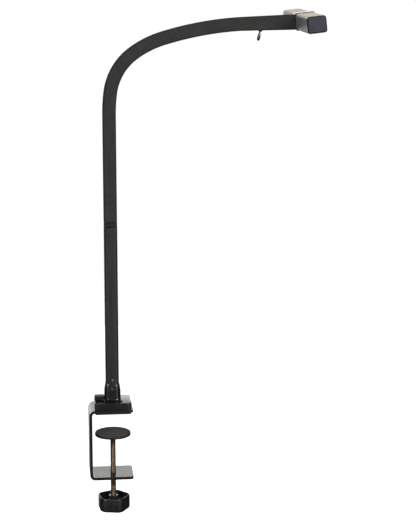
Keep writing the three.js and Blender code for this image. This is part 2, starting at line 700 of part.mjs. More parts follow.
function buildArmEnd() {
  const start = neckLength + GAP;
  const halfStart = NECK_SIZE / 2;
  const halfEnd = ARM_END_HEIGHT / 2;
  const wall = ARM_END_WALL;
  const outside = sidePlate(new THREE.Shape([
    beside(start, -halfStart), fromHead(armEndFace, -halfEnd),
    fromHead(armEndFace, halfEnd), beside(start, halfStart),
  ]), NECK_SIZE);
  const innerFace = armEndFace - ARM_END_FACE_WALL;
  const cavity = sidePlate(new THREE.Shape([
    beside(start - CLEAR, wall - halfStart), fromHead(innerFace, wall - halfEnd),
    fromHead(innerFace, halfEnd - wall), beside(start - CLEAR, halfStart - wall),
  ]), NECK_SIZE - 2 * wall);
  const pivotHole = rod(PIVOT_RADIUS + GAP, innerFace - CLEAR, armEndFace + CLEAR, { sides: 20 })
    .rotateY(Math.PI / 2)
    .rotateY(-radians(HEAD_TILT))
    .translate(HEAD_X, 0, HEAD_Z);

  // the switch stands upright in the arm end's floor, which slopes up towards the head
  const bottom = beside(start, -halfStart);
  const outer = fromHead(armEndFace, -halfEnd);
  const slope = (outer.y - bottom.y) / (outer.x - bottom.x);
  const floorZ = bottom.y + slope * (SWITCH_X - bottom.x);
  const hole = rod(SWITCH.bushRadius + GAP, floorZ - CLEAR, floorZ + 2 * wall, { x: SWITCH_X });
  addPart('arm_end_housing', cut(outside, cavity, pivotHole, hole), neckRubber);

  const ferruleStart = neckLength + 2 * GAP;
  const ferrule = cut(
    alongNeck(FERRULE.radius, ferruleStart, ferruleStart + FERRULE.length),
    alongNeck(SPINE_RADIUS + GAP, neckLength - CLEAR, neckLength + SPINE_TAIL + CLEAR),
  );
  addPart('spine_ferrule', ferrule, brightSteel);
  buildSwitch(floorZ);
}

// a small toggle switch, bushing down through the arm end's floor
function buildSwitch(floorZ) {
  const bushTop = floorZ + SWITCH.bushAbove;
  const bushing = rod(SWITCH.bushRadius, floorZ - SWITCH.bushBelow, bushTop, { x: SWITCH_X, sides: 20 });
  const leverRoom = new THREE.CylinderGeometry(1.55, 1.75, 8, 20)
    .rotateX(Math.PI / 2)
    .translate(SWITCH_X, 0, floorZ + 1);
  addPart('switch_bushing', cut(bushing, leverRoom), darkSteel);

  const bodyBottom = bushTop + 0.2;
  const { length, width, height } = SWITCH;
  const body = block(
    [SWITCH_X - length / 2, -width / 2, bodyBottom],
    [SWITCH_X + length / 2, width / 2, bodyBottom + height],
  );
  addPart('switch_body', body, blackPlastic);

  const lever = turned([
    [0, -13.6], [0.9, -13.3], [1.5, -12.2], [1.75, -10.2], [1.6, -8], [1.1, -5.4], [0.8, -3.6],
    [0.8, -1.2], [1.3, -0.7], [1.45, 0], [1.2, 0.8], [0, 1.4],
  ], 14);
  lever.rotateY(radians(LEVER_TILT)).translate(SWITCH_X, 0, floorZ + SWITCH.pivotAbove);
  addPart('switch_lever', lever, blackPlastic);
}

// ---------------------------------------------------------------- LED head, in its own frame

function barOutline() {
  const x = BAR_WIDTH / 2;
  const z = BAR_HEIGHT / 2;
  const r = BAR_CORNER;
  const inX = x - BAR_WALL;
  const inZ = z - BAR_WALL;
  const slot = BAR_OPENING / 2;
  const lip = BAR_LIP;
  const shape = new THREE.Shape();
  shape.moveTo(slot, -z);
  shape.lineTo(x - r, -z);
  shape.absarc(x - r, -z + r, r, -Math.PI / 2, 0);
  shape.absarc(x - r, z - r, r, 0, Math.PI / 2);
  shape.absarc(-x + r, z - r, r, Math.PI / 2, Math.PI);
  shape.absarc(-x + r, -z + r, r, Math.PI, 1.5 * Math.PI);
  shape.lineTo(-slot, -z);
  shape.lineTo(-slot, -z + lip);
  shape.lineTo(-inX, -z + lip);
  shape.lineTo(-inX, inZ);
  shape.lineTo(inX, inZ);
  shape.lineTo(inX, -z + lip);
  shape.lineTo(slot, -z + lip);
  return shape;
}

// the diffuser: its narrow part fills the opening, its wide part rests on the bar's two lips
function diffuserOutline() {
  const bottom = 0.1 - BAR_HEIGHT / 2;
  const shelf = BAR_LIP + GAP - BAR_HEIGHT / 2;
  const top = shelf + 1.2;
  const narrow = BAR_OPENING / 2 - GAP;
  const wide = BAR_WIDTH / 2 - BAR_WALL - GAP;
  const shape = new THREE.Shape();
  shape.moveTo(-narrow, bottom);
  shape.lineTo(narrow, bottom);
  shape.lineTo(narrow, shelf);
  shape.lineTo(wide, shelf);
  shape.lineTo(wide, top);
  shape.lineTo(-wide, top);
  shape.lineTo(-wide, shelf);
  shape.lineTo(-narrow, shelf);
  return shape;
}

const BODY_LENGTH = BAR_LENGTH - 2 * END_CAP;
const LED_BOARD = { width: 12, thickness: 1.6, short: 1 };
const LED_CHIP = { size: 3.5, width: 2.8, height: 0.8 };
const CAP_TONGUE = { width: 13.6, height: 8, length: 3.2, drop: 0.4 };

// a bar along the head's own X, in the head's frame
function alongHead(radius, from, to) {
  return rod(radius, from, to, { sides: 20 }).rotateY(Math.PI / 2);
}

function buildHousing() {
  const pivotHole = alongHead(PIVOT_RADIUS + GAP, -bandOuterX - CLEAR, 0);
  addPart('head_housing', cut(sidePlate(barOutline(), BODY_LENGTH, 3), pivotHole), headAluminium, head);
  addPart('diffuser', sidePlate(diffuserOutline(), BODY_LENGTH - 2 * GAP), opalDiffuser, head);

  const innerHeight = BAR_HEIGHT + 2 * SEAM;
  const bandInner = roundedSquare(BAR_WIDTH + 2 * SEAM, innerHeight, BAND_CORNER / 2);
  const bandOuter = roundedSquare(2 * bandOuterX, innerHeight + 2 * BAND_WALL, BAND_CORNER);
  const room = sidePlate(bandInner, BAND_WIDTH + CLEAR, 3);
  const band = cut(sidePlate(bandOuter, BAND_WIDTH, 3), room, pivotHole);
  addPart('head_band', band, blackCoat, head);
}

// the hollow pin the head turns on: its head sits inside the bar and its clip inside the arm end
function buildHeadPivot() {
  const headFace = BAR_WALL + GAP - BAR_WIDTH / 2;
  const end = armEndFace - 5.2;
  const pin = alongHead(PIVOT_RADIUS, end, headFace + GAP);
  const pinHead = alongHead(PIVOT_HEAD_RADIUS, headFace, headFace + 0.9);
  const bore = alongHead(PIVOT_BORE, end - CLEAR, 0);
  addPart('head_pivot', cut(join(pin, pinHead), bore), brightSteel, head);
  const clipOuter = armEndFace - ARM_END_FACE_WALL - 0.4;
  const clip = alongHead(PIVOT_HEAD_RADIUS, clipOuter - 1, clipOuter);
  addPart('pivot_clip', cut(clip, alongHead(PIVOT_RADIUS + SEAM, end, 0)), darkSteel, head);
}

function buildLedBoard() {
  const top = BAR_HEIGHT / 2 - BAR_WALL - GAP;
  const bottom = top - LED_BOARD.thickness;
  const halfLength = BODY_LENGTH / 2 - LED_BOARD.short;
  const board = block([-LED_BOARD.width / 2, -halfLength, bottom], [LED_BOARD.width / 2, halfLength, top]);
  const chips = Array.from({ length: LED_COUNT }, (_, i) => {
    const y = (i - (LED_COUNT - 1) / 2) * LED_PITCH;
    return block(
      [-LED_CHIP.width / 2, y - LED_CHIP.size / 2, bottom - LED_CHIP.height],
      [LED_CHIP.width / 2, y + LED_CHIP.size / 2, bottom + SEAM],
    );
  });
  addPart('led_board', join(board, ...chips), circuitBoard, head);
}

function buildEndCaps() {
  const thickness = END_CAP - SEAM;
  const tongueMiddle = BODY_LENGTH / 2 + 0.4 - CAP_TONGUE.length / 2;
  for (const [name, side] of [['front', -1], ['back', 1]]) {
    const cap = sidePlate(roundedSquare(BAR_WIDTH, BAR_HEIGHT, CAP_CORNER), thickness)
      .translate(0, side * (BAR_LENGTH - thickness) / 2, 0);
    const tongue = sidePlate(roundedSquare(CAP_TONGUE.width, CAP_TONGUE.height, 1), CAP_TONGUE.length, 3)
      .translate(0, side * tongueMiddle, -CAP_TONGUE.drop);
    addPart(`end_cap_${name}`, join(cap, tongue), capPlastic, head);
  }
}

// ---------------------------------------------------------------- assembly

buildBracket();
buildPressurePad();
buildScrew();
buildKnob();
buildBaseBlock();
buildInlet();
buildPoleSocket();
buildPoleBolt();
buildPole();
buildSwivel();
buildLead();
buildNeck();
buildArmEnd();
buildHousing();
buildHeadPivot();
buildLedBoard();
buildEndCaps();

export default lamp;
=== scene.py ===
"""Looks of the clamp-on desk lamp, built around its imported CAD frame. Metres, +Z up."""

import json
import math

import bmesh
import bpy
from mathutils import Matrix, Vector


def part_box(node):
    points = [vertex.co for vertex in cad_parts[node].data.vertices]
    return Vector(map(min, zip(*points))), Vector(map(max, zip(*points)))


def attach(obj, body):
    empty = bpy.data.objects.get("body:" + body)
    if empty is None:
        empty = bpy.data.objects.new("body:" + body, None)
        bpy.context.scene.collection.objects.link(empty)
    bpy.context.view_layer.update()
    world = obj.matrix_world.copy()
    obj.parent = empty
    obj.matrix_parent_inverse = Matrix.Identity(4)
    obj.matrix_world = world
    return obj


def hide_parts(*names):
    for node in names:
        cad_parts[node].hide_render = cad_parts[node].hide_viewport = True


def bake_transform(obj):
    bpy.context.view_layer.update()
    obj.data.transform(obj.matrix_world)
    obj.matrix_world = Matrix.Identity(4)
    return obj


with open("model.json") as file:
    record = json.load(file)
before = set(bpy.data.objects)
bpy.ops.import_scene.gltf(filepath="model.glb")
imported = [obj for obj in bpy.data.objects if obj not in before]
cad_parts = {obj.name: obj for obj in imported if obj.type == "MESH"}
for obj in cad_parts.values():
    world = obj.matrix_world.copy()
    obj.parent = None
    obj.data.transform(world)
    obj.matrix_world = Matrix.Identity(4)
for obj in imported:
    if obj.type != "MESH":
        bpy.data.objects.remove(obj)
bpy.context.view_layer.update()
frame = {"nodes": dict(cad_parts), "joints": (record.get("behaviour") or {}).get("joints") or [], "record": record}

MM = 0.001
EDGE_ANGLE = 35                  # degrees between two faces that meet in an edge


# ------------------------ camera

CAMERA_PLACE = Vector((-0.076, -1.737, 0.5172))
CAMERA_YAW = math.radians(6.02)          # towards +X
CAMERA_PITCH = math.radians(11.30)       # downwards
CAMERA_LENS = 111.8
SENSOR = 36


def add_camera():
    """The main view, from the front and a little above the light."""
    data = bpy.data.cameras.new("camera")
    data.lens = CAMERA_LENS
    data.sensor_width = SENSOR
    data.clip_start = 0.05
    camera = bpy.data.objects.new("camera", data)
    camera.location = CAMERA_PLACE
    camera.rotation_euler = (math.pi / 2 - CAMERA_PITCH, 0, -CAMERA_YAW)
    bpy.context.scene.collection.objects.link(camera)
    bpy.context.scene.camera = camera


# ------------------------ outlines and skins

CORNER_STEPS = 8                 # of a round corner that is seen close up


def rounded_rectangle(half_u, half_v, corner, steps=6):
    """The points of a rectangle with round corners, anticlockwise."""
    points = []
    for quarter, (u, v) in enumerate(((1, 1), (-1, 1), (-1, -1), (1, -1))):
        for i in range(steps + 1):
            angle = (quarter + i / steps) * math.pi / 2
            points.append((u * (half_u - corner) + corner * math.cos(angle),
                           v * (half_v - corner) + corner * math.sin(angle)))
    return points


def circle(radius, steps=48):
    return [(radius * math.cos(2 * math.pi * i / steps), radius * math.sin(2 * math.pi * i / steps))
            for i in range(steps)]


def quarter_turn(steps=4):
    """The angles of a quarter circle, from 0 to 90 degrees."""
    return [i / steps * math.pi / 2 for i in range(steps + 1)]


def skin(loops, ring=False):
    """A closed skin through loops of points, its ends capped, or joined to each other for a ring."""
    count = len(loops[0])
    rows = len(loops)
    points = [point for loop in loops for point in loop]
    faces = []
    for row in range(rows if ring else rows - 1):
        here, there = row * count, (row + 1) % rows * count
        for i in range(count):
            j = (i + 1) % count
            faces.append((here + i, here + j, there + j, there + i))
    if not ring:
        faces.append(tuple(reversed(range(count))))
        faces.append(tuple(range((rows - 1) * count, rows * count)))
    return points, faces


def at_height(outline, z):
    """An outline in X and Y, laid level at a height."""
    return [(x, y, z) for x, y in outline]


def upright(outline, bottom, top, middle=(0, 0)):
    """An outline in X and Y raised from bottom to top."""
    outline = [(middle[0] + x, middle[1] + y) for x, y in outline]
    return skin([at_height(outline, z) for z in (bottom, top)])


def lengthwise(outline, start, end):
    """An outline in X and Z drawn out along Y."""
    return skin([[(x, y, z) for x, z in outline] for y in (start, end)])


def turned(profile, steps=64, ring=False):
    """A solid of revolution about Z from (radius, height) pairs."""
    loops = [at_height(circle(radius, steps), height) for radius, height in profile]
    return skin(loops, ring)


def moved(shape, place):
    """A shape carried to another place."""
    points, faces = shape
    return [place @ Vector(point) for point in points], faces


# ------------------------ pieces

def new_object(name, shape, material):
    """A mesh object from a shape, its faces turned outwards."""
    points, faces = shape
    mesh = bpy.data.meshes.new(name)
    mesh.from_pydata([tuple(point) for point in points], [], faces)
    shell = bmesh.new()
    shell.from_mesh(mesh)
    bmesh.ops.remove_doubles(shell, verts=shell.verts, dist=1e-7)
    bmesh.ops.recalc_face_normals(shell, faces=shell.faces)
    shell.to_mesh(mesh)
    shell.free()
    mesh.materials.append(material)
    piece = bpy.data.objects.new(name, mesh)
    bpy.context.scene.collection.objects.link(piece)
    return piece


def cut(piece, *shapes):
    """Takes closed shapes out of a piece."""
    for shape in shapes:
        tool = new_object("tool", shape, piece.data.materials[0])
        modifier = piece.modifiers.new("cut", "BOOLEAN")
        modifier.operation = "DIFFERENCE"
        modifier.object = tool
        modifier.solver = "EXACT"
        solid = piece.evaluated_get(bpy.context.evaluated_depsgraph_get())
        mesh = bpy.data.meshes.new_from_object(solid)
        piece.modifiers.clear()
        piece.data = mesh
        bpy.data.objects.remove(tool)
    return piece


def round_edges(piece, width, segments=3):
    """Bevels the edges of a piece where its faces meet at EDGE_ANGLE or more."""
    piece.data.shade_smooth()
    bevel = piece.modifiers.new("round edges", "BEVEL")
    bevel.width = width
    bevel.segments = segments
    bevel.limit_method = "ANGLE"
    bevel.angle_limit = math.radians(EDGE_ANGLE)
    bevel.harden_normals = True
    return piece


def keep_edges(piece, degrees=EDGE_ANGLE):
    """Shades a piece smooth, with a sharp edge where faces meet at an angle or more."""
    piece.data.set_sharp_from_angle(angle=math.radians(degrees))
    return piece


def place(piece, body, slot, *nodes):
    """The piece moves with a body and stands for the CAD nodes, which it hides; slot is not used."""
    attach(piece, body)
    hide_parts(*nodes)


def box_in(node, axes):
    """The lowest and highest corners of a CAD node in a turned frame."""
    inverse = axes.inverted()
    points = [inverse @ vertex.co for vertex in frame["nodes"][node].data.vertices]
    low = Vector([min(point[i] for point in points) for i in range(3)])
    high = Vector([max(point[i] for point in points) for i in range(3)])
    return low, high


def facing_front(z):
    """Carries a solid that points up from Z = 0 to one that points to the front, at a height."""
    return Matrix.Translation((0, 0, z)) @ Matrix.Rotation(math.pi / 2, 4, "X")


def joint_named(name):
    return next(joint for joint in frame["joints"] if joint["name"] == name)


head_joint = joint_named("head_turn")
head_tilt = math.atan2(head_joint["axis"][2], head_joint["axis"][0])
HEAD = Matrix.Translation(head_joint["pos_m"]) @ Matrix.Rotation(-head_tilt, 4, "Y")


# ------------------------ materials

class Finish:
    """A procedural material: a Principled shader with textures whose sizes are in metres."""

    def __init__(self, name, **shader_values):
        self.material = bpy.data.materials.new(name)
        self.material.use_nodes = True
        self.tree = self.material.node_tree
        self.shader = self.tree.nodes["Principled BSDF"]
        self.normal = None
        for words, value in shader_values.items():
            self.shader.inputs[words.replace("_", " ")].default_value = value

    def node(self, kind, **settings):
        node = self.tree.nodes.new(kind)
        for name, value in settings.items():
            setattr(node, name, value)
        return node

    def feed(self, socket, value):
        """Gives a socket a number, a colour or another node's output."""
        if isinstance(value, bpy.types.NodeSocket):
            self.tree.links.new(value, socket)
        else:
            socket.default_value = value

    def where(self, stretch=(1, 1, 1)):
        """Places on the piece, in metres, stretched along each axis."""
        places = self.node("ShaderNodeTexCoord")
        mapping = self.node("ShaderNodeMapping")
        mapping.inputs["Scale"].default_value = [1 / s for s in stretch]
        self.feed(mapping.inputs["Vector"], places.outputs["Object"])
        return mapping.outputs["Vector"]

    def noise(self, size, detail=3.0, roughness=0.5, stretch=(1, 1, 1)):
        noise = self.node("ShaderNodeTexNoise")
        noise.inputs["Scale"].default_value = 1 / size
        noise.inputs["Detail"].default_value = detail
        noise.inputs["Roughness"].default_value = roughness
        self.feed(noise.inputs["Vector"], self.where(stretch))
        return noise.outputs["Fac"]

    def cells(self, size):
        cells = self.node("ShaderNodeTexVoronoi")
        cells.inputs["Scale"].default_value = 1 / size
        self.feed(cells.inputs["Vector"], self.where())
        return cells.outputs["Distance"]

    def axis(self, name):
        split = self.node("ShaderNodeSeparateXYZ")
        self.feed(split.inputs["Vector"], self.where())
        return split.outputs[name]

    def math(self, operation, a, b=0.0):
        node = self.node("ShaderNodeMath", operation=operation)
        self.feed(node.inputs[0], a)
        self.feed(node.inputs[1], b)
        return node.outputs["Value"]

    def between(self, value, low, high, start=0.35, end=0.65):
        """A value from start to end carried over to a value from low to high."""
        node = self.node("ShaderNodeMapRange")
        self.feed(node.inputs["Value"], value)
        for name, number in (("From Min", start), ("From Max", end), ("To Min", low), ("To Max", high)):
            node.inputs[name].default_value = number
        return node.outputs["Result"]

    def blend(self, factor, first, second):
        mix = self.node("ShaderNodeMix", data_type="RGBA")
        self.feed(mix.inputs["Factor"], factor)
        self.feed(mix.inputs["A"], first)
        self.feed(mix.inputs["B"], second)
        return mix.outputs["Result"]

    def color(self, value):
        self.feed(self.shader.inputs["Base Color"], value)

    def rough(self, value):
        self.feed(self.shader.inputs["Roughness"], value)

    def bump(self, height, depth):
        """Raises the surface by up to depth where height is 1, on top of the bumps so far."""
        bump = self.node("ShaderNodeBump")
        bump.inputs["Distance"].default_value = depth
        self.feed(bump.inputs["Height"], height)
        if self.normal:
            self.feed(bump.inputs["Normal"], self.normal)
        self.normal = bump.outputs["Normal"]
        self.feed(self.shader.inputs["Normal"], self.normal)


def shade(value, warmth=0.0):
    """A near-grey colour, warmer or cooler than grey."""
    return (value * (1 + warmth), value, value * (1 - warmth), 1)


def black_coat():
    """Glossy black powder coat with a fine orange peel."""
    finish = Finish("black_coat", IOR=1.55)
    smudges = finish.noise(18 * MM, detail=4)
    finish.color(finish.blend(finish.between(smudges, 0, 1), shade(0.0055, 0.05), shade(0.0085, 0.08)))
    peel = finish.noise(0.9 * MM, detail=2)
    finish.rough(finish.between(smudges, 0.17, 0.24))
    finish.bump(peel, 0.01 * MM)
    return finish.material


def satin_tube():
    """Satin black lacquer on drawn steel, with faint lines along the tube."""
    finish = Finish("satin_tube", IOR=1.5, Specular_IOR_Level=0.4)
    drawn = finish.noise(1.4 * MM, detail=3, stretch=(1, 1, 40))
    patches = finish.noise(30 * MM, detail=5, roughness=0.6)
    finish.color(finish.blend(finish.between(patches, 0, 1), shade(0.014, 0.04), shade(0.022, 0.05)))
    finish.rough(finish.between(drawn, 0.34, 0.46))
    finish.bump(drawn, 0.01 * MM)
    finish.bump(finish.noise(0.7 * MM, detail=2), 0.008 * MM)
    return finish.material


def black_plastic():
    """Moulded black plastic with a fine spark-eroded grain."""
    finish = Finish("black_plastic", IOR=1.5, Specular_IOR_Level=0.35)
    grain = finish.cells(0.55 * MM)
    patches = finish.noise(9 * MM, detail=4)
    finish.color(finish.blend(finish.between(patches, 0, 1), shade(0.008), shade(0.013, 0.04)))
    finish.rough(finish.between(patches, 0.32, 0.42))
    finish.bump(grain, 0.02 * MM)
    return finish.material


def neck_rubber():
    """Matte black rubber sleeve, finely grained, with a little dust."""
    finish = Finish("neck_rubber", IOR=1.4, Specular_IOR_Level=0.1)
    dust = finish.noise(14 * MM, detail=6, roughness=0.65)
    grain = finish.noise(0.8 * MM, detail=3)
    finish.color(finish.blend(finish.between(dust, 0, 1), shade(0.038, 0.01), shade(0.050, 0.03)))
    finish.rough(finish.between(grain, 0.8, 0.92))
    finish.bump(grain, 0.03 * MM)
    return finish.material


def pad_rubber():
    """Dark brown-grey rubber, finely pimpled."""
    finish = Finish("pad_rubber", IOR=1.45, Specular_IOR_Level=0.25)
    patches = finish.noise(7 * MM, detail=6, roughness=0.6)
    pimples = finish.cells(1.1 * MM)
    finish.color(finish.blend(finish.between(patches, 0, 1), shade(0.042, 0.10), shade(0.058, 0.08)))
    finish.rough(finish.between(patches, 0.7, 0.85))
    finish.bump(pimples, 0.05 * MM)
    return finish.material


def metal(name, light, dark, size, rough_low, rough_high):
    """A worked metal whose polish varies from place to place."""
    finish = Finish(name, Metallic=1.0)
    wear = finish.noise(size, detail=5, roughness=0.6)
    finish.color(finish.blend(finish.between(wear, 0, 1), dark, light))
    finish.rough(finish.between(wear, rough_high, rough_low))
    finish.bump(wear, 0.006 * MM)
    return finish


def bronze_screw():
    """Burnished bronze, dull where it is seen edge on."""
    finish = metal("bronze_screw", (0.31, 0.235, 0.175, 1), (0.16, 0.12, 0.09, 1), 2.5 * MM, 0.26, 0.42)
    finish.shader.inputs["Specular Tint"].default_value = (0.40, 0.32, 0.26, 1)
    return finish.material


def bright_steel():
    return metal("bright_steel", shade(0.78, 0.01), shade(0.58, 0.02), 3 * MM, 0.14, 0.28).material


def dark_steel():
    return metal("dark_steel", shade(0.16, 0.04), shade(0.08, 0.05), 2 * MM, 0.28, 0.42).material


def brass():
    return metal("brass", (0.72, 0.50, 0.20, 1), (0.50, 0.33, 0.12, 1), 2 * MM, 0.16, 0.3).material


def head_aluminium():
    """Dark anodised aluminium, brushed along the bar, rougher on its sides, with painted light: a warm painted
    sheen on its top and a lighter base on its sides as a painted reflection.
    """
    finish = Finish("head_aluminium", Metallic=1.0)
    lines = finish.noise(0.6 * MM, detail=4, stretch=(1, 60, 1))
    patches = finish.noise(22 * MM, detail=4)
    facing = finish.node("ShaderNodeTexCoord").outputs["Normal"]
    split = finish.node("ShaderNodeSeparateXYZ")
    finish.feed(split.inputs["Vector"], facing)
    on_top = finish.between(split.outputs["Z"], 0, 1, 0.4, 0.9)
    # Painted light: the sides take a lighter base, a painted reflection of the backdrop seen edge on, and the top
    # a darker one.
    side_painted_reflection_color = finish.blend(finish.between(patches, 0, 1), shade(0.30, -0.03), shade(0.36, -0.03))
    top_painted_dark_color = finish.blend(finish.between(patches, 0, 1), shade(0.085, 0.03), shade(0.105, 0.04))
    finish.color(finish.blend(on_top, side_painted_reflection_color, top_painted_dark_color))
    # The top's warm tint paints a sheen on its reflection; the sides' tint is a little cool.
    side_cool_painted_tint, top_painted_sheen_tint = (0.95, 0.98, 1.0, 1), (1.0, 0.92, 0.83, 1)
    finish.feed(finish.shader.inputs["Specular Tint"], finish.blend(on_top, side_cool_painted_tint, top_painted_sheen_tint))
    top_rough = finish.between(lines, 0.30, 0.40)
    side_rough = finish.between(lines, 0.46, 0.58)
    on_side = finish.math("SUBTRACT", 1.0, on_top)
    finish.rough(finish.math("ADD", finish.math("MULTIPLY", top_rough, on_top),
                             finish.math("MULTIPLY", side_rough, on_side)))
    finish.bump(lines, 0.012 * MM)
    return finish.material


def cap_plastic():
    """Dark grey-blue moulded plastic, darker round its rim with painted shade."""
    finish = Finish("cap_plastic", IOR=1.45, Specular_Tint=(0.86, 0.90, 1.0, 1))
    patches = finish.noise(6 * MM, detail=5)
    grain = finish.cells(0.5 * MM)
    dark, light = (0.023, 0.0245, 0.031, 1), (0.029, 0.031, 0.039, 1)
    face = finish.blend(finish.between(patches, 0, 1), dark, light)
    high = box_in("end_cap_front", HEAD)[1]
    off_x = finish.math("SUBTRACT", finish.math("ABSOLUTE", finish.axis("X")), high.x)
    off_z = finish.math("SUBTRACT", finish.math("ABSOLUTE", finish.axis("Z")), high.z)
    # Painted shade: towards the rounded rim the colour darkens and the reflection is turned down.
    rim = finish.between(finish.math("MAXIMUM", off_x, off_z), 0, 1, -1.5 * MM, -0.9 * MM)
    finish.color(finish.blend(rim, face, (0.018, 0.018, 0.021, 1)))
    finish.feed(finish.shader.inputs["Specular IOR Level"], finish.between(rim, 0.25, 0.05, 0, 1))
    finish.rough(finish.between(patches, 0.42, 0.55))
    finish.bump(grain, 0.03 * MM)
    return finish.material


def circuit_board():
    """White solder mask, slightly uneven."""
    finish = Finish("circuit_board")
    cloud = finish.noise(5 * MM, detail=4)
    finish.color(finish.blend(finish.between(cloud, 0, 1), shade(0.70), shade(0.82)))
    finish.rough(finish.between(cloud, 0.35, 0.5))
    finish.bump(finish.noise(0.4 * MM), 0.01 * MM)
    return finish.material


def opal_diffuser():
    """Milky diffusing plastic."""
    finish = Finish("opal_diffuser", Subsurface_Weight=0.5, Subsurface_Scale=2 * MM)
    cloud = finish.noise(11 * MM, detail=4)
    finish.color(finish.blend(finish.between(cloud, 0, 1), shade(0.78, 0.015), shade(0.88, 0.01)))
    finish.rough(finish.between(cloud, 0.3, 0.42))
    finish.bump(finish.noise(0.3 * MM), 0.01 * MM)
    return finish.material


def lead_sheath():
    """Dull black cable sheath."""
    finish = Finish("lead_sheath")
    cloud = finish.noise(4 * MM, detail=4)
    finish.color(finish.blend(finish.between(cloud, 0, 1), shade(0.012), shade(0.02)))
    finish.rough(finish.between(cloud, 0.45, 0.6))
    finish.bump(finish.noise(0.5 * MM), 0.02 * MM)
    return finish.material


MATERIALS = {build.__name__: build() for build in (
    black_coat, satin_tube, black_plastic, neck_rubber, pad_rubber, bronze_screw, bright_steel,
    dark_steel, brass, head_aluminium, cap_plastic, circuit_board, opal_diffuser, lead_sheath)}


def paint_cad_nodes():
    """Every CAD node takes the procedural material of its slot in the record."""
    for row in frame["record"]["subparts"]:
        for material_slot in frame["nodes"][row["node"]].material_slots:
            material_slot.material = MATERIALS[row["material_slot"]]


# ------------------------ clamp

STRAP_BEND = 5.8 * MM            # outer radius
STRAP_CORNER = 4 * MM
STRAP_CORNER_STEPS = 12
STRAP_BEND_STEPS = 12
COAT_EDGE = 0.2 * MM
SEAM = 0.05 * MM                 # between two pieces pressed together
THREAD_RADIUS = 3 * MM
THREAD_GAP = 0.15 * MM
THREAD_BORE = THREAD_RADIUS + THREAD_GAP


def strap_path(low, high, thickness):
    """The strap's middle line in X and Z, from the lower free end round to the upper one."""
    half = thickness / 2
    radius = STRAP_BEND - half
    left, bottom, top = low.x + half, low.z + half, high.z - half
    middle_x = left + radius
    ends = STRAP_CORNER_STEPS
    path = [Vector((high.x - STRAP_CORNER * i / ends, bottom)) for i in range(ends)]
    for middle_z, start in ((bottom + radius, 1.5 * math.pi), (top - radius, math.pi)):
        for turn in quarter_turn(STRAP_BEND_STEPS):
            angle = start - turn
            off = Vector((math.cos(angle), math.sin(angle))) * radius
            path.append(Vector((middle_x, middle_z)) + off)
    path += [Vector((high.x - STRAP_CORNER * (ends - i) / ends, top)) for i in range(1, ends + 1)]
    return path


def build_strap():
    low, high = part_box("clamp_bracket")
    thickness = high.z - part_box("jaw_pad")[1].z - SEAM
    half_width = (high.y - low.y) / 2
    path = strap_path(low, high, thickness)
    loops = []
    for i, point in enumerate(path):
        before, after = path[max(i - 1, 0)], path[min(i + 1, len(path) - 1)]
        along = (after - before).normalized()
        across = Vector((-along.y, along.x)) * thickness / 2
        inside = max(STRAP_CORNER - (high.x - point.x), 0)
        width = half_width - STRAP_CORNER + math.sqrt(STRAP_CORNER ** 2 - inside ** 2)
        near, far = point - across, point + across
        loops.append([(near.x, -width, near.y), (near.x, width, near.y),
                      (far.x, width, far.y), (far.x, -width, far.y)])
    strap = new_object("bracket_strap", skin(loops), MATERIALS["black_coat"])
    cut(strap, upright(circle(THREAD_RADIUS + 2 * THREAD_GAP), low.z - MM, low.z + thickness + MM))
    place(round_edges(strap, COAT_EDGE), "clamp", "black_coat", "clamp_bracket")


def build_jaw_pad():
    low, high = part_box("jaw_pad")
    outline = rounded_rectangle((high.x - low.x) / 2, (high.y - low.y) / 2, 2 * MM)
    pad = new_object("jaw_pad_rubber", upright(outline, low.z, high.z), MATERIALS["pad_rubber"])
    place(round_edges(pad, 0.35 * MM), "clamp", "pad_rubber", "jaw_pad")


def build_screw_bush():
    """The weld nut under the lower strap."""
    low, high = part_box("screw_bush")
    lip = 0.25 * MM
    profile = [(THREAD_BORE + lip, low.z), (high.x - lip, low.z), (high.x, low.z + lip),
               (high.x, high.z), (THREAD_BORE, high.z), (THREAD_BORE, low.z + lip)]
    bush = new_object("weld_nut", turned(profile, ring=True), MATERIALS["dark_steel"])
    place(keep_edges(bush), "clamp", "dark_steel", "screw_bush")


# ------------------------ pressure pad, screw and knob

PAD_HOLE = 2.2 * MM                          # for the screw's turned-down neck
PAD_POCKET = 3.8 * MM                        # the room for the screw's peened end
PAD_POCKET_DEPTH = 0.75 * MM


def build_pressure_pad():
    """The pad's steel plate and its rubber facing."""
    low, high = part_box("pressure_plate")
    radius = high.x
    rim = 0.5 * MM
    lip = 0.2 * MM
    profile = [(PAD_HOLE, low.z), (radius - rim, low.z), (radius - rim / 4, low.z + rim / 4),
               (radius, low.z + rim), (radius, high.z - lip), (radius - lip, high.z),
               (PAD_HOLE, high.z)]
    plate = new_object("pad_plate", turned(profile, 96, ring=True), MATERIALS["black_coat"])
    place(round_edges(plate, 0.12 * MM, 2), "pressure_pad", "black_coat", "pressure_plate")

    low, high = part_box("pad_facing")
    radius = high.x
    edge = 0.35 * MM
    profile = [(radius, low.z), (radius, high.z - edge), (radius - edge, high.z)]
    facing = new_object("pad_rubber_facing", turned(profile, 96), MATERIALS["pad_rubber"])
    cut(facing, upright(circle(PAD_POCKET), low.z - MM, low.z + PAD_POCKET_DEPTH))
    place(round_edges(facing, 0.1 * MM, 2), "pressure_pad", "pad_rubber", "pad_facing")


THREAD_PITCH = 1 * MM
THREAD_DEPTH = 0.45 * MM
CREST_WIDENING = 1.25                        # flattens the thread's crest
TURN_STEPS = 24
ROWS_PER_TURN = 8
SCREW_NECK = 1.9 * MM                        # the radius of its turned-down end
SCREW_SHOULDER_GAP = 0.5 * MM                # from the thread's end up to the pad's plate
SCREW_TIP_HEIGHT = 0.35 * MM                 # of the end peened over inside the pad


